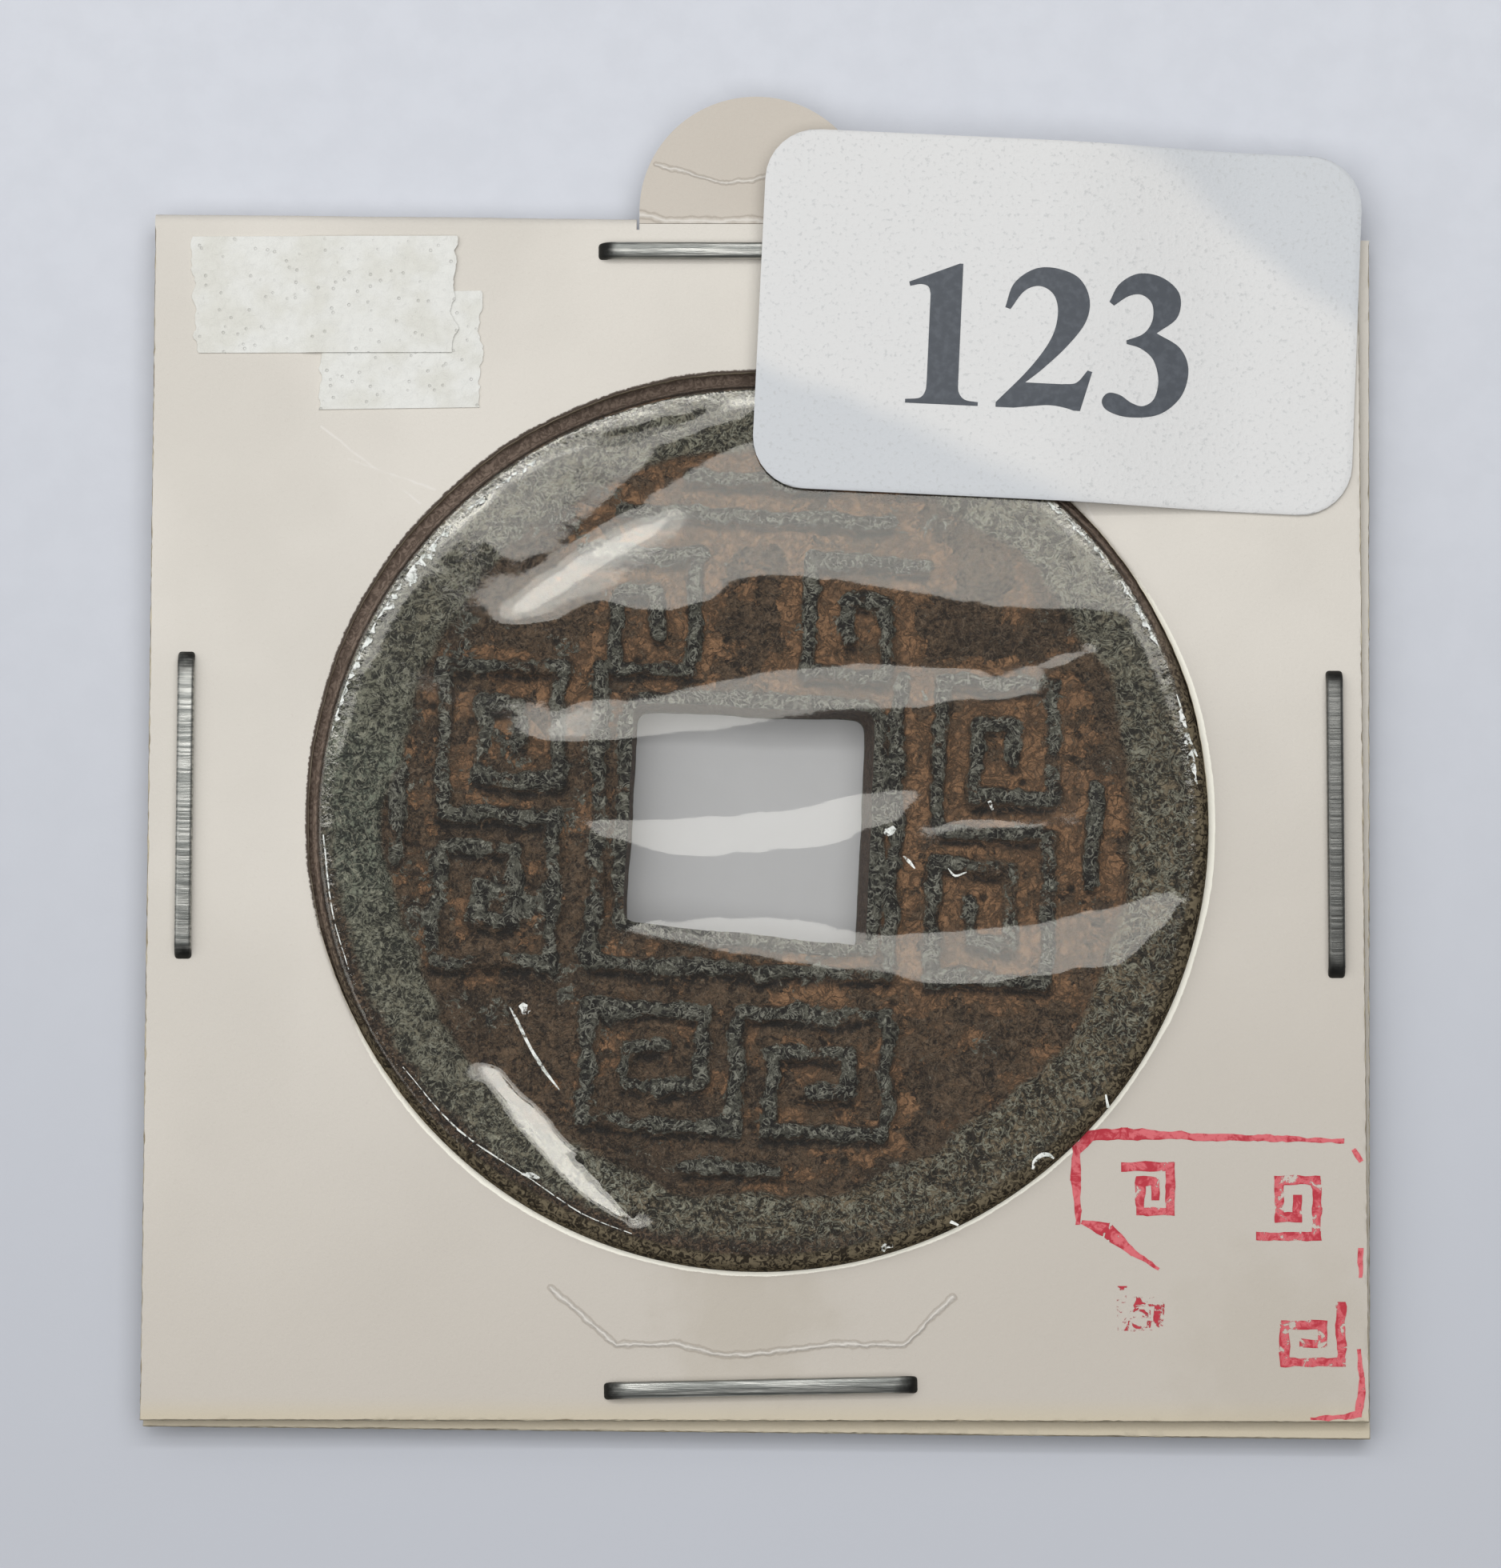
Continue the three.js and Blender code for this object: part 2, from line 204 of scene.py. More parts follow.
def distance_to_path(x, y, points):
    """How far each place is from a path of straight lengths."""
    nearest = np.full(np.shape(x), np.inf)
    for (ax, ay), (bx, by) in zip(points, points[1:]):
        dx = bx - ax
        dy = by - ay
        along = np.clip(((x - ax) * dx + (y - ay) * dy) / (dx * dx + dy * dy), 0, 1)
        nearest = np.minimum(nearest, np.hypot(x - ax - along * dx, y - ay - along * dy))
    return nearest


def inside_outline(x, y, outline, soft):
    """1 inside a closed outline and 0 outside, with a soft edge."""
    closed = [*outline, outline[0]]
    inside = np.zeros(np.shape(x), bool)
    for (ax, ay), (bx, by) in zip(closed, closed[1:]):
        if ay != by:
            crosses = (ay > y) != (by > y)
            inside ^= crosses & (x < ax + (bx - ax) * (y - ay) / (by - ay))
    away = distance_to_path(x, y, closed)
    return between(-soft, soft, np.where(inside, away, -away))


def smooth_run(points, steps=8):
    """A smooth line through points, with its ends kept."""
    points = np.array(points, float)
    if len(points) == 2:
        return points
    padded = np.vstack([2 * points[0] - points[1], points, 2 * points[-1] - points[-2]])
    t = (np.arange(steps) / steps)[:, None]
    parts = []
    for a, b, c, d in zip(padded, padded[1:], padded[2:], padded[3:]):
        squared = 2 * a - 5 * b + 4 * c - d
        cubed = 3 * b - a - 3 * c + d
        parts.append(0.5 * (2 * b + (c - a) * t + squared * t**2 + cubed * t**3))
    return np.vstack([*parts, points[-1:]])


# Meshes


def add_piece(name, points, faces, finish, values=None, edge=None):
    """An object from points in millimetres. Values holds numbers for each point, by name, and
    edge is 1 for each face that shows the cut edge of a sheet."""
    mesh = bpy.data.meshes.new(name)
    mesh.from_pydata((np.asarray(points, float) * MM).tolist(), [], faces)
    mesh.polygons.foreach_set("use_smooth", [True] * len(mesh.polygons))
    mesh.set_sharp_from_angle(angle=SHARP)
    for key, numbers in (values or {}).items():
        layer = mesh.attributes.new(key, "FLOAT", "POINT")
        layer.data.foreach_set("value", np.asarray(numbers, np.float32).ravel())
    if edge is not None:
        layer = mesh.attributes.new("edge", "FLOAT", "FACE")
        layer.data.foreach_set("value", np.asarray(edge, np.float32))
    mesh.materials.append(finish)
    piece = bpy.data.objects.new(name, mesh)
    bpy.context.scene.collection.objects.link(piece)
    return piece


def grid_faces(rows, columns, join_rows=False, join_columns=False):
    """Four-sided faces of a grid of points that is stored row by row."""
    r, c = np.meshgrid(
        np.arange(rows if join_rows else rows - 1),
        np.arange(columns if join_columns else columns - 1),
        indexing="ij",
    )
    r_next = (r + 1) % rows
    c_next = (c + 1) % columns
    ring = [r * columns + c, r * columns + c_next, r_next * columns + c_next, r_next * columns + c]
    return np.stack(ring, -1).reshape(-1, 4)


def ring_solid(name, rows, finish, values=None, edge_rows=None):
    """A solid round a hole, from loops of points that run from the hole outwards on top,
    down the outer edge, back below and up the hole."""
    rows = np.asarray(rows)
    around = rows.shape[1]
    faces = grid_faces(len(rows), around, join_rows=True, join_columns=True)[:, ::-1]
    edge = None
    if edge_rows is not None:
        flags = np.asarray(edge_rows)
        edge = np.repeat(np.maximum(flags, np.roll(flags, -1)), around)
    return add_piece(name, rows.reshape(-1, 3), faces.tolist(), finish, values, edge)


def border_of(rows, columns):
    """Numbers of the points round a grid, anticlockwise from its first point."""
    index = np.arange(rows * columns).reshape(rows, columns)
    return np.concatenate([index[0, :-1], index[:-1, -1], index[-1, :0:-1], index[:0:-1, 0]])


def slab(name, x, y, low, high, finish):
    """A closed sheet over a grid of places, whose rows run up and columns run right."""
    count = x.size
    rows, columns = x.shape
    points = np.concatenate([np.stack([x, y, high], -1), np.stack([x, y, low], -1)]).reshape(-1, 3)
    upper = grid_faces(rows, columns)
    border = border_of(rows, columns)
    onward = np.roll(border, -1)
    side = np.stack([border, border + count, onward + count, onward], -1)
    faces = np.concatenate([upper, upper[:, ::-1] + count, side])
    edge = np.arange(len(faces)) >= 2 * len(upper)
    return add_piece(name, points, faces.tolist(), finish, edge=edge)


def placed(x, y, place):
    """Grid places turned and moved to where a patch is stuck."""
    flat = turned(np.stack([x.ravel(), y.ravel()], -1), math.radians(place[4]))
    return flat[:, 0].reshape(x.shape) + place[0], flat[:, 1].reshape(x.shape) + place[1]


def brushed_line(points, widths, uneven):
    """Closed loops round the lengths of a line of changing width, and places inside them."""
    loops = []
    fill = []
    points = np.asarray(points, float)
    for a, b, wide_a, wide_b in zip(points, points[1:], widths, widths[1:]):
        length = np.hypot(*(b - a))
        way = (b - a) / length
        across = np.array([-way[1], way[0]])
        reach = way * min(wide_a, wide_b) * 0.45
        t = np.linspace(0, 1, max(3, int(length / 0.15)))[:, None]
        core = (a - reach) * (1 - t) + (b + reach) * t
        half = (wide_a * (1 - t) + wide_b * t) / 2
        rough_left = uneven * roughness_field(core[:, 0] * 3, core[:, 1] * 3, 1.2, 111)[:, None]
        rough_right = uneven * roughness_field(core[:, 0] * 3 + 9, core[:, 1] * 3, 1.2, 121)[:, None]
        left = core + across * (half + rough_left)
        right = core - across * (half + rough_right)
        loops.append(np.vstack([right, left[::-1]]))
        fill.append(core[1:-1])
    return loops, fill


def ink_piece(name, loops, fill, rise, finish, values=None, middle=(0, 0)):
    """A thin coat of ink inside closed loops that may overlap, measured from a middle. Fill
    holds more places that lie inside, rise gives the height below the ink, and values gives
    numbers for the finish."""
    flat = [tuple(point) for run in [*loops, *fill] for point in run]
    faces = []
    start = 0
    for loop in loops:
        faces.append(list(range(start, start + len(loop))))
        start += len(loop)
    corners, _, cells, *_ = delaunay_2d_cdt([Vector(point) for point in flat], [], faces, 1, 1e-5)
    places = np.array([tuple(corner) for corner in corners])
    count = len(places)
    low = rise(*places.T)
    numbers = values(*places.T) if values else {}
    doubled = {key: np.tile(number, 2) for key, number in numbers.items()}
    places = places + middle
    points = np.vstack([np.column_stack([places, low + INK]), np.column_stack([places, low])])
    links = {(a, b) for cell in cells for a, b in zip(cell, [*cell[1:], cell[0]])}
    sides = [(b, a, a + count, b + count) for a, b in links if (b, a) not in links]
    below = [tuple(i + count for i in reversed(cell)) for cell in cells]
    return add_piece(name, points, [*map(tuple, cells), *below, *sides], finish, doubled)


def fit(piece, body, slot, *nodes):
    """Puts a piece on the body that it rides on and hides the nodes that it replaces. Slot is not used.
    """
    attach(piece, body)
    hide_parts(*nodes)


# Shader maths


def colour(red, green, blue):
    """A colour as it is seen, from 0 to 255, as the light that a shader works with."""
    seen = [red / 255, green / 255, blue / 255]
    light = [v / 12.92 if v <= 0.04045 else ((v + 0.055) / 1.055) ** 2.4 for v in seen]
    return (*light, 1)


class Signal:
    """A number that changes over a surface. Sums with it add Math nodes to its finish."""

    def __init__(self, finish, socket):
        self.finish = finish
        self.socket = socket

    def __add__(self, other):
        return self.finish.maths("ADD", self, other)

    __radd__ = __add__

    def __sub__(self, other):
        return self.finish.maths("SUBTRACT", self, other)

    def __rsub__(self, other):
        return self.finish.maths("SUBTRACT", other, self)

    def __mul__(self, other):
        return self.finish.maths("MULTIPLY", self, other)

    __rmul__ = __mul__

    def __truediv__(self, other):
        return self.finish.maths("DIVIDE", self, other)

    def __pow__(self, other):
        return self.finish.maths("POWER", self, other)

    def __abs__(self):
        return self.finish.maths("ABSOLUTE", self)

    def least(self, other):
        return self.finish.maths("MINIMUM", self, other)

    def most(self, other):
        return self.finish.maths("MAXIMUM", self, other)

    def step(self, low, high):
        """0 below low, 1 above high, and soft between them. Low may be the greater one."""
        inputs = {"Value": self, "From Min": low, "From Max": high}
        return self.finish.node("ShaderNodeMapRange", {"interpolation_type": "SMOOTHSTEP"}, inputs)[0]


class Tree:
    """A tree of shader nodes in the making."""

    def __init__(self, tree):
        self.tree = tree
        self.tree.nodes.clear()

    def node(self, kind, settings, inputs):
        """Any node: its settings first, then a number, a colour or a link for each socket."""
        made = self.tree.nodes.new(kind)
        for key, value in settings.items():
            setattr(made, key, value)
        for key, value in inputs.items():
            if isinstance(value, Signal):
                self.tree.links.new(value.socket, made.inputs[key])
            else:
                made.inputs[key].default_value = value
        return [Signal(self, socket) for socket in made.outputs]

    def maths(self, operation, *values):
        return self.node("ShaderNodeMath", {"operation": operation}, dict(enumerate(values)))[0]


class Finish(Tree):
    """A material in the making. Its methods add nodes and return what comes out of them."""

    def __init__(self, name):
        self.material = bpy.data.materials.new(name)
        self.material.use_nodes = True
        super().__init__(self.material.node_tree)
        metres = self.node("ShaderNodeTexCoord", {}, {})[3]
        scaled = {0: metres, 3: 1 / MM}
        self.place = self.node("ShaderNodeVectorMath", {"operation": "SCALE"}, scaled)[0]
        self.x, self.y, self.z = self.node("ShaderNodeSeparateXYZ", {}, {0: self.place})

    def blend(self, first, second, share):
        """The first colour where share is 0, and the second where it is 1."""
        return self.node("ShaderNodeMix", {"data_type": "RGBA"}, {0: share, 6: first, 7: second})[2]

    def noise(self, per_mm, detail=3, roughness=0.5, distortion=0.0, place=None):
        """Noise from 0 to 1, with about this many lumps to a millimetre."""
        inputs = {"Vector": place or self.place, "Scale": per_mm, "Detail": detail}
        inputs.update({"Roughness": roughness, "Distortion": distortion})
        return self.node("ShaderNodeTexNoise", {}, inputs)[0]

    def spots(self, per_mm, place=None):
        """Distance from the nearest of many scattered points, in cells."""
        inputs = {"Vector": place or self.place, "Scale": per_mm}
        return self.node("ShaderNodeTexVoronoi", {}, inputs)[0]

    def stretched(self, x, y, z):
        """Places with the pattern squeezed by these factors along each axis."""
        return self.node("ShaderNodeMapping", {}, {"Vector": self.place, "Scale": (x, y, z)})[0]

    def value(self, name):
        """A number that the mesh carries at each point."""
        return self.node("ShaderNodeAttribute", {"attribute_name": name}, {})[2]

    def path(self, points, waver=0.0, seed=0.0):
        """Distance in millimetres from a path of straight lengths, with an unsteady line."""
        shift = self.shifted(seed) if seed else self.place
        x = self.x + (self.noise(1.2, 3, place=shift) - 0.5) * waver
        y = self.y + (self.noise(1.5, 3, place=shift) - 0.5) * waver
        nearest = None
        for (ax, ay), (bx, by) in zip(points, points[1:]):
            dx = bx - ax
            dy = by - ay
            along = ((x - ax) * dx + (y - ay) * dy) / (dx * dx + dy * dy)
            along = along.most(0).least(1)
            away = ((x - ax - along * dx) ** 2 + (y - ay - along * dy) ** 2) ** 0.5
            nearest = away if nearest is None else nearest.least(away)
        return nearest

    def shifted(self, seed):
        """Places moved along, so that a pattern differs from the one beside it."""
        move = {"Vector": self.place, "Location": (seed * 7.3, seed * 3.1, seed)}
        return self.node("ShaderNodeMapping", {}, move)[0]

    def around(self, middle, round_scale, out_scale):
        """Places measured as a turn about a middle and a distance from it."""
        x = self.x - middle[0]
        y = self.y - middle[1]
        turn = self.maths("ARCTAN2", y, x) * round_scale
        away = (x**2 + y**2) ** 0.5 * out_scale
        return self.node("ShaderNodeCombineXYZ", {}, {0: turn, 1: away})[0]

    def bump(self, height, distance):
        """A normal from heights of 0 to 1, where 1 stands this many millimetres high."""
        return self.node("ShaderNodeBump", {}, {"Distance": distance * MM, "Height": height})[0]

    def solid(self, base, **sockets):
        """Ends the finish with an opaque or partly opaque surface."""
        names = {key.replace("_", " ").title(): value for key, value in sockets.items()}
        names = {key.replace("Ior", "IOR"): value for key, value in names.items()}
        shader = self.node("ShaderNodeBsdfPrincipled", {}, {"Base Color": base, **names})[0]
        self.node("ShaderNodeOutputMaterial", {}, {"Surface": shader})
        return self.material


# Finishes


def bronze():
    """Old cast bronze: brown field, grey-green high parts, and orange where the skin is gone."""
    f = Finish("old bronze")
    rim = f.value("rim")
    figure = f.value("figure")
    near = f.value("near")
    wall = f.value("wall")
    worms = f.noise(3.5, 3, 0.62, 1.6)
    grain = f.noise(6.5, 3, 0.6, 0.8, f.shifted(1))
    mid = f.noise(0.75, 6, 0.62, 0.4)
    broad = f.noise(0.16, 3)
    cloud = f.noise(0.45, 5, 0.6, 0.3, f.shifted(3))
    clumps = f.noise(0.9, 3, 0.6, 0.5, f.shifted(6))
    crumbs = f.noise(2.2, 4, 0.62, 1.2, f.shifted(8))
    # Fine crooked threads, pale ones and dark ones
    threads = abs(f.noise(1.7, 3, 0.55, 1.4, f.shifted(4)) - 0.5).step(0.05, 0.015)
    cracks = abs(f.noise(1.4, 4, 0.6, 1.2, f.shifted(7)) - 0.5).step(0.045, 0.01)
    crumbled = f.x.step(-3, -9)
    # The field
    soft = (worms * 0.5 + crumbs * 0.5 + (clumps - 0.5) * 0.3).step(0.4, 0.6)
    body = f.blend(colour(40, 31, 25), colour(108, 88, 69), soft)
    body = f.blend(body, colour(50, 41, 34), cloud.step(0.48, 0.62) * 0.55)
    body = f.blend(body, colour(122, 105, 88), threads * 0.45)
    # Orange where the skin has come away, most of all between the strokes at the top and right
    out = (f.x**2 + f.y**2) ** 0.5
    inner_line = out.step(14.0, 15.1) * (f.x * 0.6 - f.y * 0.8).step(11, 14.5)
    away_from_low_left = (f.x * 0.5 + f.y * 0.5).most(-6).least(4) * 0.03
    loose = (mid - 0.5) * 2.3 + near * (0.37 - crumbled * 0.05) + (broad - 0.5) * 0.7
    loose = loose + (grain - 0.5) * 0.4 + inner_line * 0.2 + away_from_low_left
    bare = loose.step(0.25, 0.36) * (1 - figure.step(0.2, 0.5)) * (1 - rim.step(0.2, 0.7))
    dull = (clumps * 0.4 + crumbs * 0.6).step(0.4, 0.62)
    orange = f.blend(colour(154, 118, 87), colour(98, 76, 58), dull)
    body = f.blend(body, orange, bare * (0.94 - cracks * 0.6))
    # Grey-green on what stands high, bluer on the left and browner at the lower right
    lit = (worms * 0.6 + crumbs * 0.4 + (clumps - 0.5) * 0.3).step(0.42, 0.6)
    teal = (f.x * -0.05 + broad).step(1.05, 1.5) * 0.7
    pale_green = f.blend(colour(128, 124, 107), colour(126, 136, 122), teal)
    dark_green = f.blend(colour(45, 44, 38), colour(51, 58, 52), teal)
    rusty = (f.x * 0.03 - f.y * 0.03 + mid * 0.6 + cloud * 0.5).step(0.72, 1.15) * 0.85
    pale_green = f.blend(pale_green, colour(124, 109, 86), rusty)
    dark_green = f.blend(dark_green, colour(44, 37, 30), rusty)
    green = f.blend(dark_green, pale_green, lit)
    green = f.blend(green, colour(156, 156, 140), threads * 0.7)
    green = f.blend(green, colour(30, 30, 27), cracks * (1 - threads) * 0.7)
    high = (rim + (mid - 0.5) * 1.1 + (cloud - 0.5) * 0.8 + crumbled * 0.14).step(0.3, 0.85)
    body = f.blend(body, green, high)
    outer_band = (out + (clumps - 0.5) * 1.4).step(17.5, 18.0) * (f.x * -0.6 - f.y * 0.8).step(8, 15)
    brown = f.blend(colour(48, 39, 33), colour(108, 89, 72), worms.step(0.44, 0.62))
    body = f.blend(body, brown, outer_band)
    # Dark crumbled strokes with pale threads
    crust = f.blend(colour(28, 28, 28), colour(96, 97, 88), crumbs.step(0.46, 0.6))
    crust = f.blend(crust, colour(158, 159, 148), threads * 0.75)
    raised = (figure + (crumbs - 0.5) * 2.0 + (cloud - 0.5) * (2.0 + crumbled * 2.0)).step(0.4, 0.6)
    body = f.blend(body, crust, raised * (1 - high) * 0.94)
    # Painted shadow under the strokes, on the side away from the lamps, dark dirt in pits, and pale
    # flecks on top
    painted_stroke_shadow = f.value("below") * crumbs.step(0.68, 0.5)
    pits = f.spots(0.55, f.shifted(2)).step(0.14, 0.05)
    body = f.blend(body, colour(28, 25, 24), painted_stroke_shadow.most(pits * 0.85))
    flecks = grain.step(0.61, 0.68) * (0.1 + (high + raised) * 0.4) * (1 - bare)
    body = f.blend(body, colour(176, 178, 166), flecks)
    edge_brown = f.blend(colour(104, 84, 70), colour(66, 52, 44), worms.step(0.4, 0.6))
    body = f.blend(body, edge_brown, wall)
    relief = worms * 0.7 + crumbs * 0.8 + grain * 0.3 + threads * 0.3
    relief = relief - cracks * 0.4 - pits * 0.5 - bare * 0.2
    return f.solid(body, roughness=0.68 - high * 0.08, normal=f.bump(relief, 0.2))


def clear_film(name, gloss_share):
    """Thin clear film: see-through but for its gloss, which is the same from both sides, and
    for a brown band along the fold round the pocket, partly dirt and partly painted shade of the gap
    beside the coin."""
    f = Finish(name)
    side = f.value("side")
    turned_place = f.around(COIN_MIDDLE, 34, 1.6)
    teeth = f.noise(1, 3, 0.6, place=turned_place) - 0.5
    height = f.noise(0.8, 4) * 0.8 + f.noise(5, 2) * 0.06 + teeth * f.value("pleated") * 4
    normal = f.bump(height, 0.012)
    tint = {"Color": (0.985, 0.965, 0.9, 1), "Roughness": 0.07, "Normal": normal}
    gloss = f.node("ShaderNodeBsdfAnisotropic", {"distribution": "GGX"}, tint)[0]
    clear = f.node("ShaderNodeBsdfTransparent", {}, {"Color": (0.998, 0.994, 0.984, 1)})[0]
    facing = f.node("ShaderNodeLayerWeight", {}, {"Blend": 0.5, "Normal": normal})[1]
    share = (facing**5 * 0.95 + gloss_share) * (1 - side * 0.85)
    film = f.node("ShaderNodeMixShader", {}, {0: share, 1: clear, 2: gloss})[0]
    worms = f.noise(3.5, 3, 0.62, 1.6)
    # The brown band is partly dirt and partly painted shade of the gap between the coin and the card
    lower = (f.y - f.x * 0.4).step(6, -4)
    pale_dirt_and_shade = f.blend(colour(142, 126, 114), colour(112, 102, 83), lower)
    dark_dirt_and_shade = f.blend(colour(102, 89, 80), colour(46, 41, 34), lower)
    dirt_and_shade_colour = f.blend(dark_dirt_and_shade, pale_dirt_and_shade, worms.step(0.42, 0.6))
    # Painted shade: the band is darker towards the top, where the gap lies in shadow
    dirt_and_shade_colour = f.blend(dirt_and_shade_colour, colour(62, 53, 46), f.y.step(13, 18) * 0.45)
    brown = f.node("ShaderNodeBsdfDiffuse", {}, {"Color": dirt_and_shade_colour})[0]
    shader = f.node("ShaderNodeMixShader", {}, {0: f.value("dirt_and_gap_shade"), 1: film, 2: brown})[0]
    f.node("ShaderNodeOutputMaterial", {}, {"Surface": shader})
    return f.material


def scratch_and_glint_finish():
    """White on the film: partly scratches and partly painted glints."""
    f = Finish("film scratches and painted glints")
    base = f.blend(colour(236, 238, 233), colour(206, 210, 203), f.noise(3, 3).step(0.4, 0.65))
    return f.solid(base, roughness=0.4, alpha=f.noise(3.2, 4, 0.65).step(0.4, 0.56) * 0.95)


def card_stock(name, creases=(), scratches=(), stains=(), painted_shade=0.0):
    """Pale uncoated card with cut edges that show its fibre."""
    f = Finish(name)
    edge = f.value("edge")
    fibre = f.noise(7, 5, 0.6)
    cloud = f.noise(0.09, 3)
    base = f.blend(colour(217, 212, 203), colour(209, 204, 195), cloud.step(0.35, 0.65))
    # Painted shade: darker towards the bottom and right, as the light falls off there
    base = f.blend(base, colour(190, 183, 173), (f.y - f.x * 0.25).step(12, -27) * 0.9)
    # Darker fibre specks, and the whole sheet darker as painted shade where asked
    base = f.blend(base, colour(190, 181, 169), (fibre.step(0.62, 0.78) * 0.25).most(painted_shade))
    base = f.blend(base, colour(198, 187, 162), f.y.step(-24.0, -25.2) * 0.7)
    for x, y, radius, strength in stains:
        away = ((f.x - x) ** 2 + (f.y - y) ** 2) ** 0.5 + (f.noise(0.6, 4) - 0.5) * radius
        base = f.blend(base, colour(172, 163, 147), away.step(radius, radius * 0.3) * strength)
    height = fibre * 0.5 + f.noise(1.5, 3) * 0.4
    for points, width, depth in creases:
        away = f.path(points, 0.35)
        height = height + away.step(width, 0) * depth
        # Along a crease: a pale line, partly whitened fibre and partly painted highlight, with painted
        # shade beside it
        base = f.blend(base, colour(226, 222, 215), away.step(width * 0.7, 0) * 0.6)
        painted_crease_shade = away.step(width * 1.5, width) * away.step(width * 0.6, width)
        base = f.blend(base, colour(150, 140, 128), painted_crease_shade * 0.5)
    for points in scratches:
        away = f.path(points, 0.15, seed=2)
        scraped = away.step(0.07, 0.02) * f.noise(0.8).step(0.4, 0.6)
        base = f.blend(base, colour(226, 222, 216), scraped * 0.6)
    # The window's lip carries painted light: pale as a painted highlight where its value is above 0,
    # and dark as painted shade where it is below
    lip = f.value("lip")
    base = f.blend(base, colour(250, 247, 234), (lip + (fibre - 0.5) * 0.4).step(0.25, 0.6))
    base = f.blend(base, colour(92, 82, 74), (lip + (fibre - 0.5) * 1.2).step(-0.4, -0.8))
    layers = f.noise(1, 5, 0.7, place=f.stretched(0.8, 0.8, 14))
    cut = f.blend(colour(206, 196, 172), colour(150, 138, 116), layers.step(0.4, 0.62))
    base = f.blend(base, cut, edge)
    height = height + layers * edge * 2
    return f.solid(base, roughness=0.92, specular_ior_level=0.3, normal=f.bump(height, 0.05))


def staple_steel():
    """Flat bright wire with drawn lines along it and dark tarnish at the bends."""
    f = Finish("staple wire")
    along = f.value("along")
    lines = f.noise(1, 4, 0.6, place=f.stretched(0.25, 6, 3))
    tarnish = (abs(along) + (f.noise(1.2, 4) - 0.5) * 1.6).step(5.4, 6.4)
    base = f.blend(colour(186, 186, 180), colour(132, 134, 130), lines.step(0.4, 0.6))
    # Painted reflection: the wire of the staple on the right is darker, as it mirrors less light
    base = f.blend(base, colour(96, 96, 93), f.x.step(21, 22) * 0.8)
    base = f.blend(base, colour(52, 52, 50), tarnish)
    rough = 0.3 + lines * 0.15 + tarnish * 0.25
    return f.solid(base, metallic=0.9, roughness=rough, normal=f.bump(lines, 0.03))


def label_stock():
    """Satin silver paper, faintly speckled, with darker zones painted in as reflections."""
    f = Finish("silver label")
    speckle = f.noise(5, 4, 0.6)
    waver = (f.noise(0.12, 2, place=f.shifted(5)) - 0.5) * 3
    # Painted reflections: darker zones at the upper right and lower left
    painted_reflection_upper_right = (f.x * 0.6 + f.y * 0.8 + waver).step(31.2, 32.8)
    painted_reflection_lower_left = (f.x * -0.41 - f.y * 0.91 + waver).step(-18.4, -16.8)
    base = f.blend(colour(215, 215, 214), colour(199, 202, 205), painted_reflection_upper_right.most(painted_reflection_lower_left))
    base = f.blend(base, colour(180, 182, 182), speckle.step(0.54, 0.7) * 0.5)
    grain = f.bump(speckle, 0.025)
    return f.solid(base, metallic=0.1, roughness=0.55, specular_ior_level=0.25, normal=grain)


def tape_finish():
    """Old translucent tape with pits and trapped air."""
    f = Finish("old tape")
    pits = f.spots(2.4, f.shifted(4))
    cloud = f.noise(0.5, 4)
    base = f.blend(colour(222, 222, 217), colour(214, 213, 205), cloud.step(0.4, 0.65))
    dark = pits.step(0.13, 0.05) * f.noise(0.5).step(0.4, 0.6)
    base = f.blend(base, colour(186, 186, 176), dark * 0.7)
    height = f.noise(2.6, 5, 0.65, 0.5) * 1.4 - pits.step(0.2, 0.08) * 0.6
    return f.solid(base, roughness=0.55, normal=f.bump(height, 0.06))


def printing_ink():
    f = Finish("dark ink")
    base = f.blend(colour(66, 71, 78), colour(78, 83, 90), f.noise(3, 4).step(0.4, 0.7))
    return f.solid(base, roughness=0.5)


def stamp_ink():
    """Red ink that took only here and there."""
    f = Finish("red ink")
    core = f.value("core")
    streaks = f.noise(2.2, 5, 0.65, 0.6)
    taken = streaks + f.value("wet") * 0.35 - 0.2
    deep = (streaks + core.step(0.7, 0) * 0.12).step(0.46, 0.62)
    base = f.blend(colour(216, 110, 116), colour(184, 56, 68), deep)
    return f.solid(base, roughness=0.85, alpha=taken.step(0.42, 0.5) * 0.93)


def floor_finish():
    f = Finish("pale table")
    grain = f.noise(0.5, 6, 0.6)
    base = f.blend(colour(208, 211, 218), colour(205, 208, 215), grain.step(0.35, 0.65))
    # Painted shade: the table is darker towards the bottom, as the light falls off
    base = f.blend(base, colour(187, 190, 197), f.y.step(40, -34))
    return f.solid(base, roughness=0.85, specular_ior_level=0.1, normal=f.bump(grain, 0.03))


# The coin


def fret(x, y, mirror=1):
    """A square spiral from its middle out: sides of 1, 1, 2, 2, 3 and 3 squares."""
    points = [(x, y)]
    heading = (0, 1)
    for side in range(6):
        x += heading[0] * (1 + side // 2)
        y += heading[1] * (1 + side // 2)
        points.append((x, y))
        heading = (-mirror * heading[1], mirror * heading[0])
    return points


def double_fret():
    """Two frets that end in one stroke, the second turned half round from the first."""
    upper = [*fret(0.5, 1.9), (-1.5, 0)]
    lower = [(-x, -y) for x, y in reversed(upper)]
    return [*upper, *lower]


def stroke(x, y, half_length):
    return [(x - half_length, y), (x + half_length, y)]


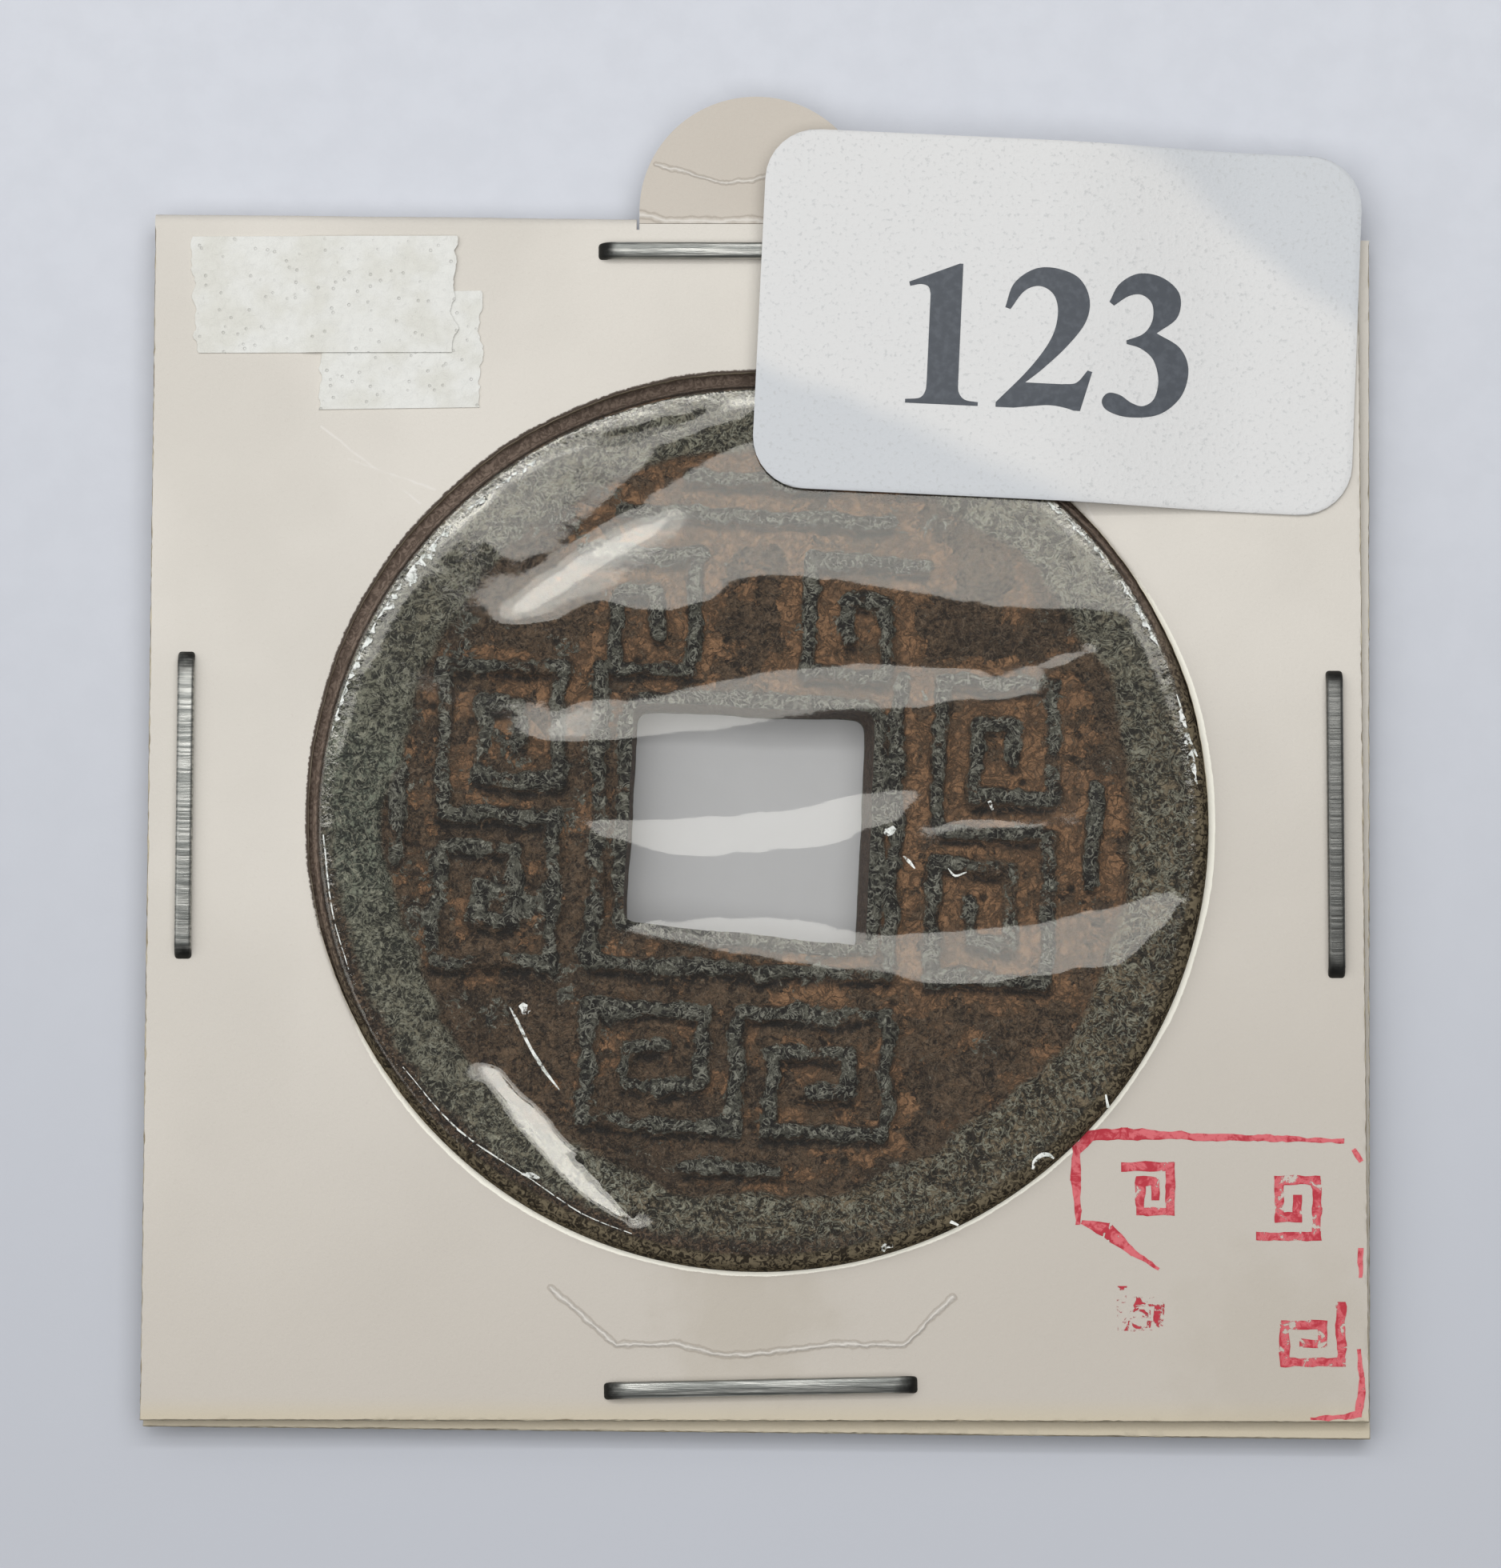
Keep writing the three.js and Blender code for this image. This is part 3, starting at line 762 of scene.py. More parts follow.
def figure_paths():
    """The raised strokes of the four figures, which stand round the hole."""
    pair = [fret(-2.5, -1.5), fret(2.5, -1.5, -1), stroke(0, 1.6, 3.5), stroke(0, 2.6, 1.8)]
    sideways = [(y, -x) for x, y in double_fret()]
    double = [sideways, stroke(0, -2.6, 3.9), stroke(0, 2.6, 1.2)]
    paths = []
    for quarter, strokes in enumerate([pair, double, double, double]):
        for points in strokes:
            standing = np.array(points) * PITCH + (0, FIGURE_REACH)
            paths.append(turned(standing, FIGURE_TURN + quarter * math.pi / 2) + FIGURE_MIDDLE)
    return paths


def hole_loop(corners, steps):
    """Points round a four-sided hole with worn corners, from its lower left one."""
    corners = np.array(corners, float)
    share = (np.arange(steps) / steps)[:, None]
    loop = np.concatenate([a + (b - a) * share for a, b in zip(corners, np.roll(corners, -1, axis=0))])
    near = range(-HOLE_ROUNDING, HOLE_ROUNDING + 1)
    return sum(np.roll(loop, k, axis=0) for k in near) / len(near)


def coin_rows(steps=160, front_rows=100, back_rows=20):
    """Loops of points round the coin, and the numbers that its finish reads."""
    hole = hole_loop(HOLE_CORNERS, steps)
    hole = hole * (1 + 0.012 * roughness_field(hole[:, 0], hole[:, 1], 2.4, 72, 3))[:, None]
    hole_below = hole + hole_loop(HOLE_TAPER, steps)
    angle = math.radians(225) + np.arange(4 * steps) / (4 * steps) * 2 * math.pi
    circle = np.stack([np.cos(angle), np.sin(angle)], -1)
    front_face = COIN_BOX[1][2]
    back_face = COIN_BOX[0][2]
    middle = (front_face + back_face) / 2
    strokes = figure_paths()
    rows = []
    marks = {"rim": [], "figure": [], "near": [], "below": [], "wall": []}

    def add(flat, z, **numbers):
        rows.append(np.column_stack([flat, np.broadcast_to(z, len(flat))]))
        for key, kept in marks.items():
            kept.append(np.broadcast_to(numbers.get(key, 0.0), len(flat)))

    def face(share, relief, sign):
        """A loop on one face, with its rim, the hole's rim and what is cast on it."""
        inner = hole if sign > 0 else hole_below
        flat = inner + (circle * COIN_RADIUS - inner) * share
        x, y = flat.T
        radius = np.hypot(x, y) + 0.3 * lumps(x, y, 3.1, 11 + sign)
        radius = radius + 0.14 * lumps(x, y, 0.9, 21 + sign)
        rim = between(RIM_INSIDE - RIM_SLOPE, RIM_INSIDE, radius)
        away = np.hypot(*(flat - inner).T) + 0.1 * lumps(x, y, 0.8, 5)
        lip = between(HOLE_RIM + 0.35, HOLE_RIM - 0.15, away)
        path = np.full(len(x), np.inf)
        above = path
        if relief:
            wobble_x = x + 0.16 * lumps(x, y, 1.3, 31) + 0.09 * lumps(x, y, 0.45, 33)
            wobble_y = y + 0.16 * lumps(x, y, 1.4, 32) + 0.09 * lumps(x, y, 0.45, 34)
            for points in strokes:
                path = np.minimum(path, distance_to_path(wobble_x, wobble_y, points))
                above = np.minimum(above, distance_to_path(wobble_x, wobble_y + 0.36, points))
        ragged = 0.07 * lumps(x, y, 0.3, 35) + 0.06 * lumps(x, y, 0.7, 36)
        figure = between(STROKE / 2 + 0.14, STROKE / 2 - 0.2, path + ragged)
        # A strip under each stroke, on the side away from the lamps, that the finish darkens as painted
        # shadow
        below = between(STROKE / 2 + 0.1, STROKE / 2 - 0.2, above) * (1 - figure)
        worn = 1 - 0.8 * between(-0.2, 0.8, lumps(x, y, 2.9, 41))
        raised = np.maximum(figure * worn, lip) * RELIEF
        raised = np.maximum(raised, rim * (FIELD_DEPTH - 0.03))
        raised = raised + 0.04 * roughness_field(x, y, 1.1, 51) + 0.05 * lumps(x, y, 5, 61)
        edge = between(1.0, 0.93, share)
        raised = np.minimum(raised, FIELD_DEPTH)
        field = front_face - FIELD_DEPTH if sign > 0 else back_face + FIELD_DEPTH
        z = field + sign * (raised - WORN_EDGE * (1 - edge))
        figure = np.maximum(figure * (0.55 + 0.45 * worn), lip)
        add(flat, z, rim=rim, figure=figure, near=between(1.9, 0.6, path), below=below)

    for share in np.linspace(0, 1, front_rows + 1):
        face(share, True, 1)
    # Round the worn edge, out to the seam and back in
    for out, down, wall in ((-0.04, 0.05, 0.0), (0.03, 0.16, 0.4), (0.09, 0.36, 1.0), (0.15, 0.7, 1.0)):
        add(circle * (RIM_REACH + out), front_face - WORN_EDGE - down, wall=wall)
    add(circle * SEAM_REACH, middle, wall=1.0)
    for out, up in ((0.13, 0.7), (0.05, 0.3), (-0.04, 0.08)):
        add(circle * (RIM_REACH + out), back_face + WORN_EDGE + up, wall=1.0)
    for share in np.linspace(1, 0, back_rows + 1):
        face(share, False, -1)
    # Up the rough wall of the hole
    low = back_face + FIELD_DEPTH - 0.1
    for up in (0.15, 0.4, 0.7, 0.9):
        rough = 0.05 * roughness_field(hole[:, 0] * 3, hole[:, 1] * 3 + up * 5, 1.5, 71)[:, None]
        wall = hole_below + (hole - hole_below) * up
        wall = wall * (1 + rough / np.hypot(*wall.T)[:, None])
        add(wall, low + (front_face - 0.1 - low) * up, wall=1.0)
    return np.array(rows) + (*COIN_MIDDLE[:2], 0), {key: np.array(v) for key, v in marks.items()}


def make_coin():
    rows, marks = coin_rows()
    coin = ring_solid("bronze_coin", rows, bronze(), marks)
    fit(coin, "coin", "bronze", "coin")


# The films

# Where the front film tips so that it shows a lamp to the camera, or tips away: the lamp's place
# in shares of its height, the softness of the edge and the outline
UNLIT = (0, 0.14)
DIM = (0, 0.12)
STRIP = (0, 0.26)
BRIGHT = (-0.13, 0.48)
BRIGHT_RIGHT = (0.38, 0.48)
MIDDLE = (-0.05, 0.36)

# How strongly the film is held to its slopes where it reflects, and elsewhere
FIRMNESS = {DIM: 0.3, STRIP: 1.5, MIDDLE: 1.5, BRIGHT: 3, BRIGHT_RIGHT: 4}
TAUT = 0.03

# The reflections, from the top down
REFLECTIONS = [
    (DIM, 0.3, [
        (-9.8, 14.9), (-8.3, 15.4), (-5.6, 16.1), (-2.6, 16.7), (-0.2, 17.6), (-0.1, 18.6),
        (-3, 18.3), (-6.3, 17.6), (-9, 16.4), (-11, 14.5),
    ]),
    (DIM, 0.5, [
        (-11.7, 12.8), (-11.3, 11.4), (-10.7, 10.8), (-9.5, 10.5), (-10.5, 8.7), (-11.6, 7.4),
        (-15.6, 8.7), (-14.3, 11.1),
    ]),
    (DIM, 0.1, [
        (-0.7, 16.6), (-2.6, 16.3), (-4.2, 15.6), (-5.2, 14.3), (-6.5, 13.1), (-8.1, 11.5),
        (-8.8, 11), (-8.3, 10.7), (-6, 12.4), (-4.3, 12.9), (-5.1, 13.3), (-2.7, 14.7),
        (-0.7, 15.8),
    ]),
    (STRIP, 0.12, [
        (-9.8, 14.9), (-8.3, 15.4), (-7.1, 15.9), (-5.6, 16.1), (-4.3, 16.4), (-2.6, 16.7),
        (-1.1, 17.5), (-0.2, 17.6), (-0.7, 16.6), (-2.6, 16.3), (-4.2, 15.6), (-5.2, 14.3),
        (-6.5, 13.1), (-8.1, 11.5), (-8.8, 11), (-10.7, 10.8), (-11.3, 11.4), (-11.3, 13.2),
    ]),
    (STRIP, 0.12, [
        (-10.6, 8.1), (-9.7, 8.1), (-8.3, 8.5), (-6.5, 9), (-5, 8.6), (-4, 8.5), (-2, 9.1),
        (-1.5, 9.8), (0.4, 10.2), (4.4, 9.8), (6.1, 9.4), (8.4, 9), (11.8, 8.8), (15.1, 8.6),
        (17.4, 8.1), (17, 10.6), (15.6, 12.8), (13.2, 14.9), (10.1, 16.2), (5.1, 16.9), (1.7, 16.6),
        (-0.7, 15.8), (-2.7, 14.7), (-5.1, 13.3), (-4.3, 12.9), (-6, 12.4), (-8.3, 10.7),
        (-9.5, 10.5), (-10.5, 8.7),
    ]),
    (MIDDLE, 0.3, [
        (-10.6, 8.1), (-8.8, 8.2), (-6.4, 9.3), (-3.9, 11), (-2.8, 12.5), (-3.4, 13.3), (-5.1, 13),
        (-7.1, 12), (-8.8, 10.9), (-10.3, 9.4),
    ]),
    (BRIGHT, 0.2, [
        (-10.4, 8.4), (-9.4, 8.6), (-7.8, 9.6), (-5.8, 10.9), (-4.3, 11.9), (-3.4, 12.6),
        (-4.1, 12.7), (-5.8, 12), (-7.8, 10.8), (-9.3, 9.8), (-10.3, 8.9),
    ]),
    (MIDDLE, 0.1, [
        (-8.4, 15.3), (-7.1, 15.9), (-5.6, 16.1), (-4.3, 16.4), (-2.6, 16.7), (-1.1, 17.5),
        (-1, 17.1), (-2.4, 16.4), (-4.2, 16), (-5.6, 15.8), (-7, 15.5), (-8.2, 14.9),
    ]),
    (STRIP, 0.06, [
        (-9.3, 3.2), (-8.7, 3.1), (-7.1, 3.05), (-4.4, 3.3), (-0.3, 3.9), (2.8, 4.5), (5.1, 4.5),
        (9.1, 4.9), (11.2, 5), (11.2, 5.2), (9.1, 6.2), (5.1, 6.5), (2.8, 6.4), (-0.3, 6),
        (-4.4, 4.9), (-7.1, 4.9), (-8.7, 4),
    ]),
    (MIDDLE, 0.15, [
        (-9.3, 3.3), (-8.8, 3.2), (-7.1, 3.2), (-6.3, 3.6), (-6.3, 4.5), (-7.3, 4.9), (-8.4, 4.2),
    ]),
    (STRIP, 0.06, [
        (11.3, 6.3), (12.5, 6.3), (13.9, 6.8), (12.5, 6.9),
    ]),
    (STRIP, 0.06, [
        (-7.3, -0.4), (-6.5, -0.9), (-4.2, -1.5), (-2.3, -1.8), (-0.2, -1.6), (2, -1.4),
        (3.4, -1.05), (4.4, -0.6), (5.7, -0.2), (6.7, 1), (5.7, 1.1), (4.4, 0.95), (3.4, 0.7),
        (2, 0.4), (-0.2, 0.05), (-2.3, -0.1), (-4.2, -0.2), (-6.5, -0.3),
    ]),
    (STRIP, 0.05, [
        (7, -0.4), (8.5, -0.55), (13.3, -0.5), (8.5, -0.1),
    ]),
    (STRIP, 0.06, [
        (-5.4, -4.75), (-4.2, -5.1), (-1.6, -5.7), (1.4, -6.1), (2.8, -6.35), (5, -6.5),
        (6.6, -6.95), (8.7, -7.15), (12.1, -6.65), (15.1, -6.2), (17, -4.6), (17.5, -3.7),
        (17, -3.3), (15.1, -3.6), (12.1, -4.4), (8.7, -4.75), (6.6, -4.9), (5, -5.05), (2.8, -4.4),
        (1.4, -4.3), (-1.6, -4.15), (-4.2, -4.3),
    ]),
    (BRIGHT_RIGHT, 0.05, [
        (-11.4, -10.4), (-10.7, -10.6), (-10, -11.3), (-8.9, -12.5), (-7.8, -13.6), (-6.7, -14.7),
        (-5.8, -15.8), (-5.1, -16.6), (-5.3, -16.9), (-5.9, -16.9), (-7.3, -15.9), (-8.4, -14.9),
        (-9.5, -13.5), (-10.6, -12), (-11.3, -11.2),
    ]),
]

# Share of the light that each film mirrors when it is seen head on
FRONT_GLOSS = 0.045
REAR_GLOSS = 0.015

# Lines of white on the film, partly scratches and partly painted glints, with their width at each point
SCRATCH_AND_GLINT_LINES = [
    ([(-10.39, -7.8), (-10.04, -8.45), (-9.53, -9.47), (-9.01, -10.32), (-8.33, -11.21)],
     (0.05, 0.14, 0.12, 0.16, 0.04)),
    ([(-9.86, -7.75), (-9.74, -7.9), (-9.8, -8.02)], (0.25, 0.34, 0.1)),
    ([(-9.83, -14.74), (-9.5, -14.78), (-9.16, -14.91)], (0.06, 0.22, 0.1)),
    ([(-18.2, -0.6), (-17.8, -3.8), (-17.1, -6.2)], (0.06, 0.05, 0.04)),
    ([(-14.8, -10.3), (-12.5, -12.9), (-9.4, -15), (-7.3, -16.4), (-5.3, -17.2)],
     (0.03, 0.07, 0.04, 0.05, 0.03)),
    ([(11.31, -14.46), (11.39, -14.16), (11.65, -13.92), (11.94, -13.89), (12.15, -14.02)],
     (0.1, 0.17, 0.17, 0.15, 0.08)),
    ([(5.11, -17.87), (5.18, -17.71), (5.45, -17.69)], (0.12, 0.22, 0.12)),
    ([(7.92, -16.69), (8.17, -16.81)], (0.16, 0.1)),
    ([(14.34, -11.42), (14.42, -11.9)], (0.08, 0.12)),
    ([(7.82, -1.97), (8.11, -2.26), (8.56, -2.11)], (0.04, 0.1, 0.04)),
    ([(5.2, -0.4), (5.36, -0.42), (5.53, -0.3)], (0.14, 0.32, 0.2)),
    ([(9.55, 0.85), (9.66, 0.55)], (0.16, 0.1)),
    ([(5.97, -1.45), (6.19, -1.67), (6.41, -1.94)], (0.06, 0.14, 0.06)),
    ([(17.37, 5.39), (17.55, 4.79)], (0.04, 0.1)),
    ([(17.69, 3.81), (17.95, 3.29), (18.2, 2.81)], (0.06, 0.16, 0.06)),
]

# Ragged painted glints along the pocket's edge: first and last turn in degrees and radius there,
# widest, seed
GLINT_EDGES = [
    (5, 16, 18.27, 18.22, 0.24, 201),
    (24, 34, 18.22, 18.18, 0.2, 202),
    (36, 50, 18.2, 18.14, 0.14, 203),
    (121, 133, 17.95, 18.0, 0.22, 204),
    (136, 152, 18.02, 18.16, 0.5, 205),
    (152, 168, 18.16, 18.28, 0.24, 206),
]


def camera_place():
    back = np.array([0, -math.sin(VIEW_LEAN), math.cos(VIEW_LEAN)])
    return np.array(VIEW_POINT) + VIEW_DISTANCE * back


def mirror_slopes(x, y, share_x, share_y):
    """Slopes along X and Y with which a film shows the camera a point at the lamps' height."""
    ways = []
    lamp = (share_x * LAMP_HEIGHT, share_y * LAMP_HEIGHT, LAMP_HEIGHT)
    for far in (camera_place(), lamp):
        way = np.stack([far[0] - x, far[1] - y, np.full(x.shape, float(far[2]))])
        ways.append(way / np.linalg.norm(way, axis=0))
    normal = ways[0] + ways[1]
    return -normal[0] / normal[2], -normal[1] / normal[2]


def taut_heights(slopes, firm, held, step, rounds=500):
    """The heights that come nearest to these slopes. Firm says how much each place's slopes
    count, held says how much it stays at 0, and conjugate gradients find the heights."""

    def gather(along, up, height):
        total = held * height
        total[:, 1:] += along / step
        total[:, :-1] -= along / step
        total[1:] += up / step
        total[:-1] -= up / step
        return total

    firm_x = (firm[:, 1:] + firm[:, :-1]) / 2
    firm_y = (firm[1:] + firm[:-1]) / 2

    def stretched(height):
        along = np.diff(height, axis=1) / step * firm_x
        up = np.diff(height, axis=0) / step * firm_y
        return gather(along, up, height)

    height = np.zeros(firm.shape)
    wanted_x = (slopes[0][:, 1:] + slopes[0][:, :-1]) / 2
    wanted_y = (slopes[1][1:] + slopes[1][:-1]) / 2
    left = gather(wanted_x * firm_x, wanted_y * firm_y, height)
    way = left.copy()
    size = (left**2).sum()
    for _ in range(rounds):
        spread = stretched(way)
        share = size / (way * spread).sum()
        height = height + share * way
        left = left - share * spread
        fresh = (left**2).sum()
        way = left + way * (fresh / size)
        size = fresh
    return height


def wrinkle_heights(radius, step=0.1):
    """A square table of film heights: tipped as asked where it reflects, taut elsewhere."""
    ticks = np.arange(-radius, radius + step, step)
    x, y = np.meshgrid(ticks + COIN_MIDDLE[0], ticks + COIN_MIDDLE[1])
    firm = np.full(x.shape, TAUT)
    slopes = np.stack(mirror_slopes(x, y, *UNLIT))
    wobble_x = x + 0.1 * roughness_field(x, y, 1.2, 81, 3)
    wobble_y = y + 0.1 * roughness_field(x, y, 1.1, 85, 3)
    for shares, soft, outline in REFLECTIONS:
        mask = inside_outline(wobble_x, wobble_y, outline, soft)
        slopes = slopes * (1 - mask) + np.stack(mirror_slopes(x, y, *shares)) * mask
        firm = firm * (1 - mask) + FIRMNESS[shares] * mask
    away = np.hypot(x - COIN_MIDDLE[0], y - COIN_MIDDLE[1])
    held = 0.001 + 20 * between(radius - 0.5, radius, away)
    return ticks, taut_heights(slopes, firm, held, step)


def sample(ticks, table, x, y):
    """Heights from the table at any places, by straight lines between its points."""
    step = ticks[1] - ticks[0]
    u = np.clip((x - ticks[0]) / step, 0, len(ticks) - 1.001)
    v = np.clip((y - ticks[0]) / step, 0, len(ticks) - 1.001)
    i = u.astype(int)
    j = v.astype(int)
    fu = u - i
    fv = v - j
    low = table[j, i] * (1 - fu) + table[j, i + 1] * fu
    high = table[j + 1, i] * (1 - fu) + table[j + 1, i + 1] * fu
    return low * (1 - fv) + high * fv


def disc_grid(radius, steps):
    """A square grid of points pressed into a disc, so that its outer rows are round."""
    ticks = np.linspace(-1, 1, steps + 1)
    a, b = np.meshgrid(ticks, ticks)
    wide = np.abs(a) > np.abs(b)
    reach = np.where(wide, a, b)
    share = np.where(wide, b, a) / np.where(reach == 0, 1, reach)
    turn = np.where(wide, math.pi / 4 * share, math.pi / 2 - math.pi / 4 * share)
    return radius * reach * np.cos(turn), radius * reach * np.sin(turn)


def film_shell(name, steps, surface, side, finish):
    """A film with a round pocket and a square flange. Surface gives how far the underside of the
    pocket's flat stands above its rest. Side is 1 in front of the coin and -1 behind it."""
    centre = COIN_MIDDLE[:2] * (1, side)
    half_side = FRONT_FILM[1][0]
    flange = COIN_MIDDLE[2] + HALF_GAP - FILM_REST
    inside = FLAT_RADIUS
    # The shoulder and the wall: how far out and how far down
    shoulder = [
        (0.1, -0.02),
        (0.2, -0.08),
        (0.29, -0.2),
        (0.37, -0.42),
        (0.43, -0.75),
        (0.47, flange + 0.1),
        (0.62, flange),
    ]
    x, y = disc_grid(inside, steps)
    border = border_of(steps + 1, steps + 1)
    around = len(border)
    layers = []
    for thickness in (FILM, 0):
        top = np.stack([x, y, surface(x, y) + thickness], -1).reshape(-1, 3)
        edge = top[border]
        ways = edge[:, :2] / np.hypot(edge[:, 0], edge[:, 1])[:, None]
        points = [top]
        for out, drop in shoulder:
            keep = max(0, 1 - out / 0.4)
            radius = inside + out + thickness * min(1, out / 0.4)
            height = keep * edge[:, 2] + (1 - keep) * thickness + drop
            points.append(np.column_stack([ways * radius, height]))
        foot = points[-1]
        square = ways * (half_side / np.abs(ways).max(axis=1))[:, None] - centre
        for share in (0.2, 0.6, 1.0):
            flat = foot[:, :2] * (1 - share) + square * share
            points.append(np.column_stack([flat, foot[:, 2]]))
        layers.append(np.concatenate(points))
    count = len(layers[0])
    loops = len(shoulder) + 3
    rings = np.vstack([border, (x.size + np.arange(loops * around)).reshape(loops, around)])
    onward = np.roll(rings, -1, axis=1)
    wall = np.stack([rings[:-1], rings[1:], onward[1:], onward[:-1]], -1).reshape(-1, 4)
    upper = np.concatenate([grid_faces(steps + 1, steps + 1), wall])
    rim = np.stack([rings[-1], rings[-1] + count, onward[-1] + count, onward[-1]], -1)
    faces = np.concatenate([upper, upper[:, ::-1] + count, rim])
    points = np.concatenate(layers)
    away = np.hypot(points[:, 0], points[:, 1])
    # The brown band of dirt and painted gap shade reaches further in at the lower right
    dirt_and_shade_reach = between(-0.1, 0.6, (points[:, 0] * 0.6 - points[:, 1] * 0.8) / np.maximum(away, 1))
    pleated = between(inside - 0.5, inside - 0.1, away) * between(inside + 0.5, inside + 0.2, away)
    marks = {
        "side": between(inside + 0.12, inside + 0.35, away),
        "pleated": pleated,
        "dirt_and_gap_shade": 0.9 * between(0.22, 0.34, away - inside + 0.4 * dirt_and_shade_reach),
    }
    points = (points + (*centre, FILM_REST)) * (1, side, side)
    if side < 0:
        points[:, 2] += 2 * COIN_MIDDLE[2]
    return add_piece(name, points, faces.tolist(), finish, marks)


def painted_glint_edges():
    """Loops round the ragged painted glints along the pocket's edge."""
    loops = []
    for first, last, start, end, widest, seed in GLINT_EDGES:
        turn = np.linspace(first, last, int((last - first) * 4))
        outer = np.interp(turn, (first, last), (start, end))
        drips = 0.5 + 0.5 * roughness_field(turn * 1.6, 0 * turn, 1, seed, 3)
        width = widest * np.clip(drips, 0.06, 1) ** 1.5
        share = np.linspace(0, 1, len(turn))
        width = width * between(0, 0.15, share) * between(1, 0.85, share)
        angle = np.radians(turn)
        way = np.stack([np.cos(angle), np.sin(angle)], -1)
        waver = 0.03 * lumps(turn * 1.3, 0 * turn, 1, seed + 9)
        inner_side = way * (outer - width - 0.02)[:, None]
        outer_side = way * (outer + waver + 0.02)[:, None]
        loops.append(np.vstack([outer_side, inner_side[::-1]]))
    return loops


def make_scratches_and_glints(surface):
    """Thin white marks on top of the front film, where it is scratched, blistered or torn: partly real
    marks and partly painted glints.
    """
    loops = painted_glint_edges()
    fill = []
    for points, widths in SCRATCH_AND_GLINT_LINES:
        line = smooth_run(points, 4)
        along = np.linspace(0, len(points) - 1, len(line))
        line_loops, core = brushed_line(line, np.interp(along, range(len(points)), widths), 0.01)
        loops += line_loops
        fill += core

    def rise(x, y):
        return FILM_REST + FILM + surface(x, y) + HAIR

    middle = COIN_MIDDLE[:2]
    marks = ink_piece("film_scratches_and_glints", loops, fill, rise, scratch_and_glint_finish(), middle=middle)
    fit(marks, "holder", "film", "front_film")


def make_films():
    front_finish = clear_film("clear front film", FRONT_GLOSS)
    rear_finish = clear_film("clear rear film", REAR_GLOSS)
    ticks, table = wrinkle_heights(FLAT_RADIUS)

    def front_surface(x, y):
        radius = np.hypot(x, y)
        angle = np.arctan2(y, x)
        pleats = 0.4 + 0.6 * lumps(angle * 14, radius * 0.5, 1, 91)
        left = 0.3 + 0.7 * between(-4, 8, y - x)
        waver = 0.002 * lumps(x, y, 1.3, 92) + 0.006 * lumps(x, y, 3, 93)
        droop = between(17.5, 18.25, radius) * 0.04 * (1 + pleats * left)
        return sample(ticks, table, x, y) + waver - droop

    def rear_surface(x, y):
        radius = np.hypot(x, y)
        dome = 1 - (radius / POCKET_RADIUS) ** 2
        waver = 0.012 * lumps(x, y * 2.5, 6, 95) + 0.006 * lumps(x * 2, y * 4, 6, 96)
        return dome * (waver - 0.016) - 0.004

    front = film_shell("front_window_film", 200, front_surface, 1, front_finish)
    fit(front, "holder", "film", "front_film")
    make_scratches_and_glints(front_surface)
    rear = film_shell("rear_window_film", 90, rear_surface, -1, rear_finish)
    fit(rear, "holder", "film", "rear_film")


# The card


def along_outline(corners, count):
    """Points at even steps along a closed outline, keeping its corners."""
    corners = np.array(corners, float)
    sides = np.roll(corners, -1, axis=0) - corners
    lengths = np.hypot(*sides.T)
    steps = np.maximum(1, np.round(lengths / lengths.sum() * count)).astype(int)
    parts = [a + s * (np.arange(n) / n)[:, None] for a, s, n in zip(corners, sides, steps)]
    return np.concatenate(parts)


def panel_top(x):
    return FOLD_START + math.tan(FOLD_SLANT) * x


def card_panel(name, outline, low, high, rows, finish, seed, wear=None):
    """A card with a round window: its outline is a little uneven where it was cut."""
    outer = along_outline(outline, 1000)
    ways = outer / np.hypot(*outer.T)[:, None]
    edge_x, edge_y = ways.T * WINDOW_RADIUS
    waver = 0.03 * lumps(edge_x, edge_y, 2.6, seed) + 0.015 * lumps(edge_x, edge_y, 0.35, seed + 5)
    wide = 0.17 * between(0.5, 1, ways @ np.array(WIDE_CUT))
    inner = ways * (WINDOW_RADIUS + waver + wide)[:, None]
    free = outer[:, 1] < panel_top(outer[:, 0]) - 0.02
    thickness = high - low
    loops = []
    cut = []
    lips = []

    def add(flat, z, cut_edge=False, lip=0.0):
        loops.append(np.column_stack([flat, np.broadcast_to(z, len(flat))]))
        cut.append(cut_edge)
        lips.append(np.broadcast_to(lip, len(flat)))

    def ragged(inset, salt):
        rough = 0.045 * roughness_field(outer[:, 0] * 2 + salt, outer[:, 1] * 2, 1, seed)
        return outer - ways * ((inset + np.abs(rough)) * free)[:, None]

    for share in np.linspace(0, 1, rows)[2:-1]:
        flat = inner + (outer - inner) * share
        add(flat, high + (wear(flat[:, 0], flat[:, 1]) if wear else 0))
    add(ragged(0.04, 0), high)
    for down in (0.12, 0.35, 0.65, 0.88):
        add(ragged(0, down * 9), high - thickness * down, True)
    add(ragged(0.04, 9), low)
    for share in (0.66, 0.33):
        add(inner + (outer - inner) * share, low)
    add(inner + ways * 0.04, low)
    for up in (0.12, 0.5, 0.82):
        add(inner, low + thickness * up, True)
    toward = ways @ np.array(WORN_AND_LIT_LIP)
    bevel = (0.12 + 0.2 * between(-0.4, 0.8, toward))[:, None]
    # The lip's painted light: -1 is painted shade at the upper left, 1 a painted highlight where the
    # lip faces the lamps
    painted_lip_light = between(-0.5, 0.2, toward) * 2 - 1
    add(inner + ways * bevel * 0.1, high - 0.1, lip=painted_lip_light)
    add(inner + ways * bevel * 0.45, high - 0.035, lip=painted_lip_light)
    add(inner + ways * bevel, high, lip=0.6 * painted_lip_light)
    add(inner + ways * (bevel + 0.08), high)
    return ring_solid(name, loops, finish, {"lip": lips}, cut)


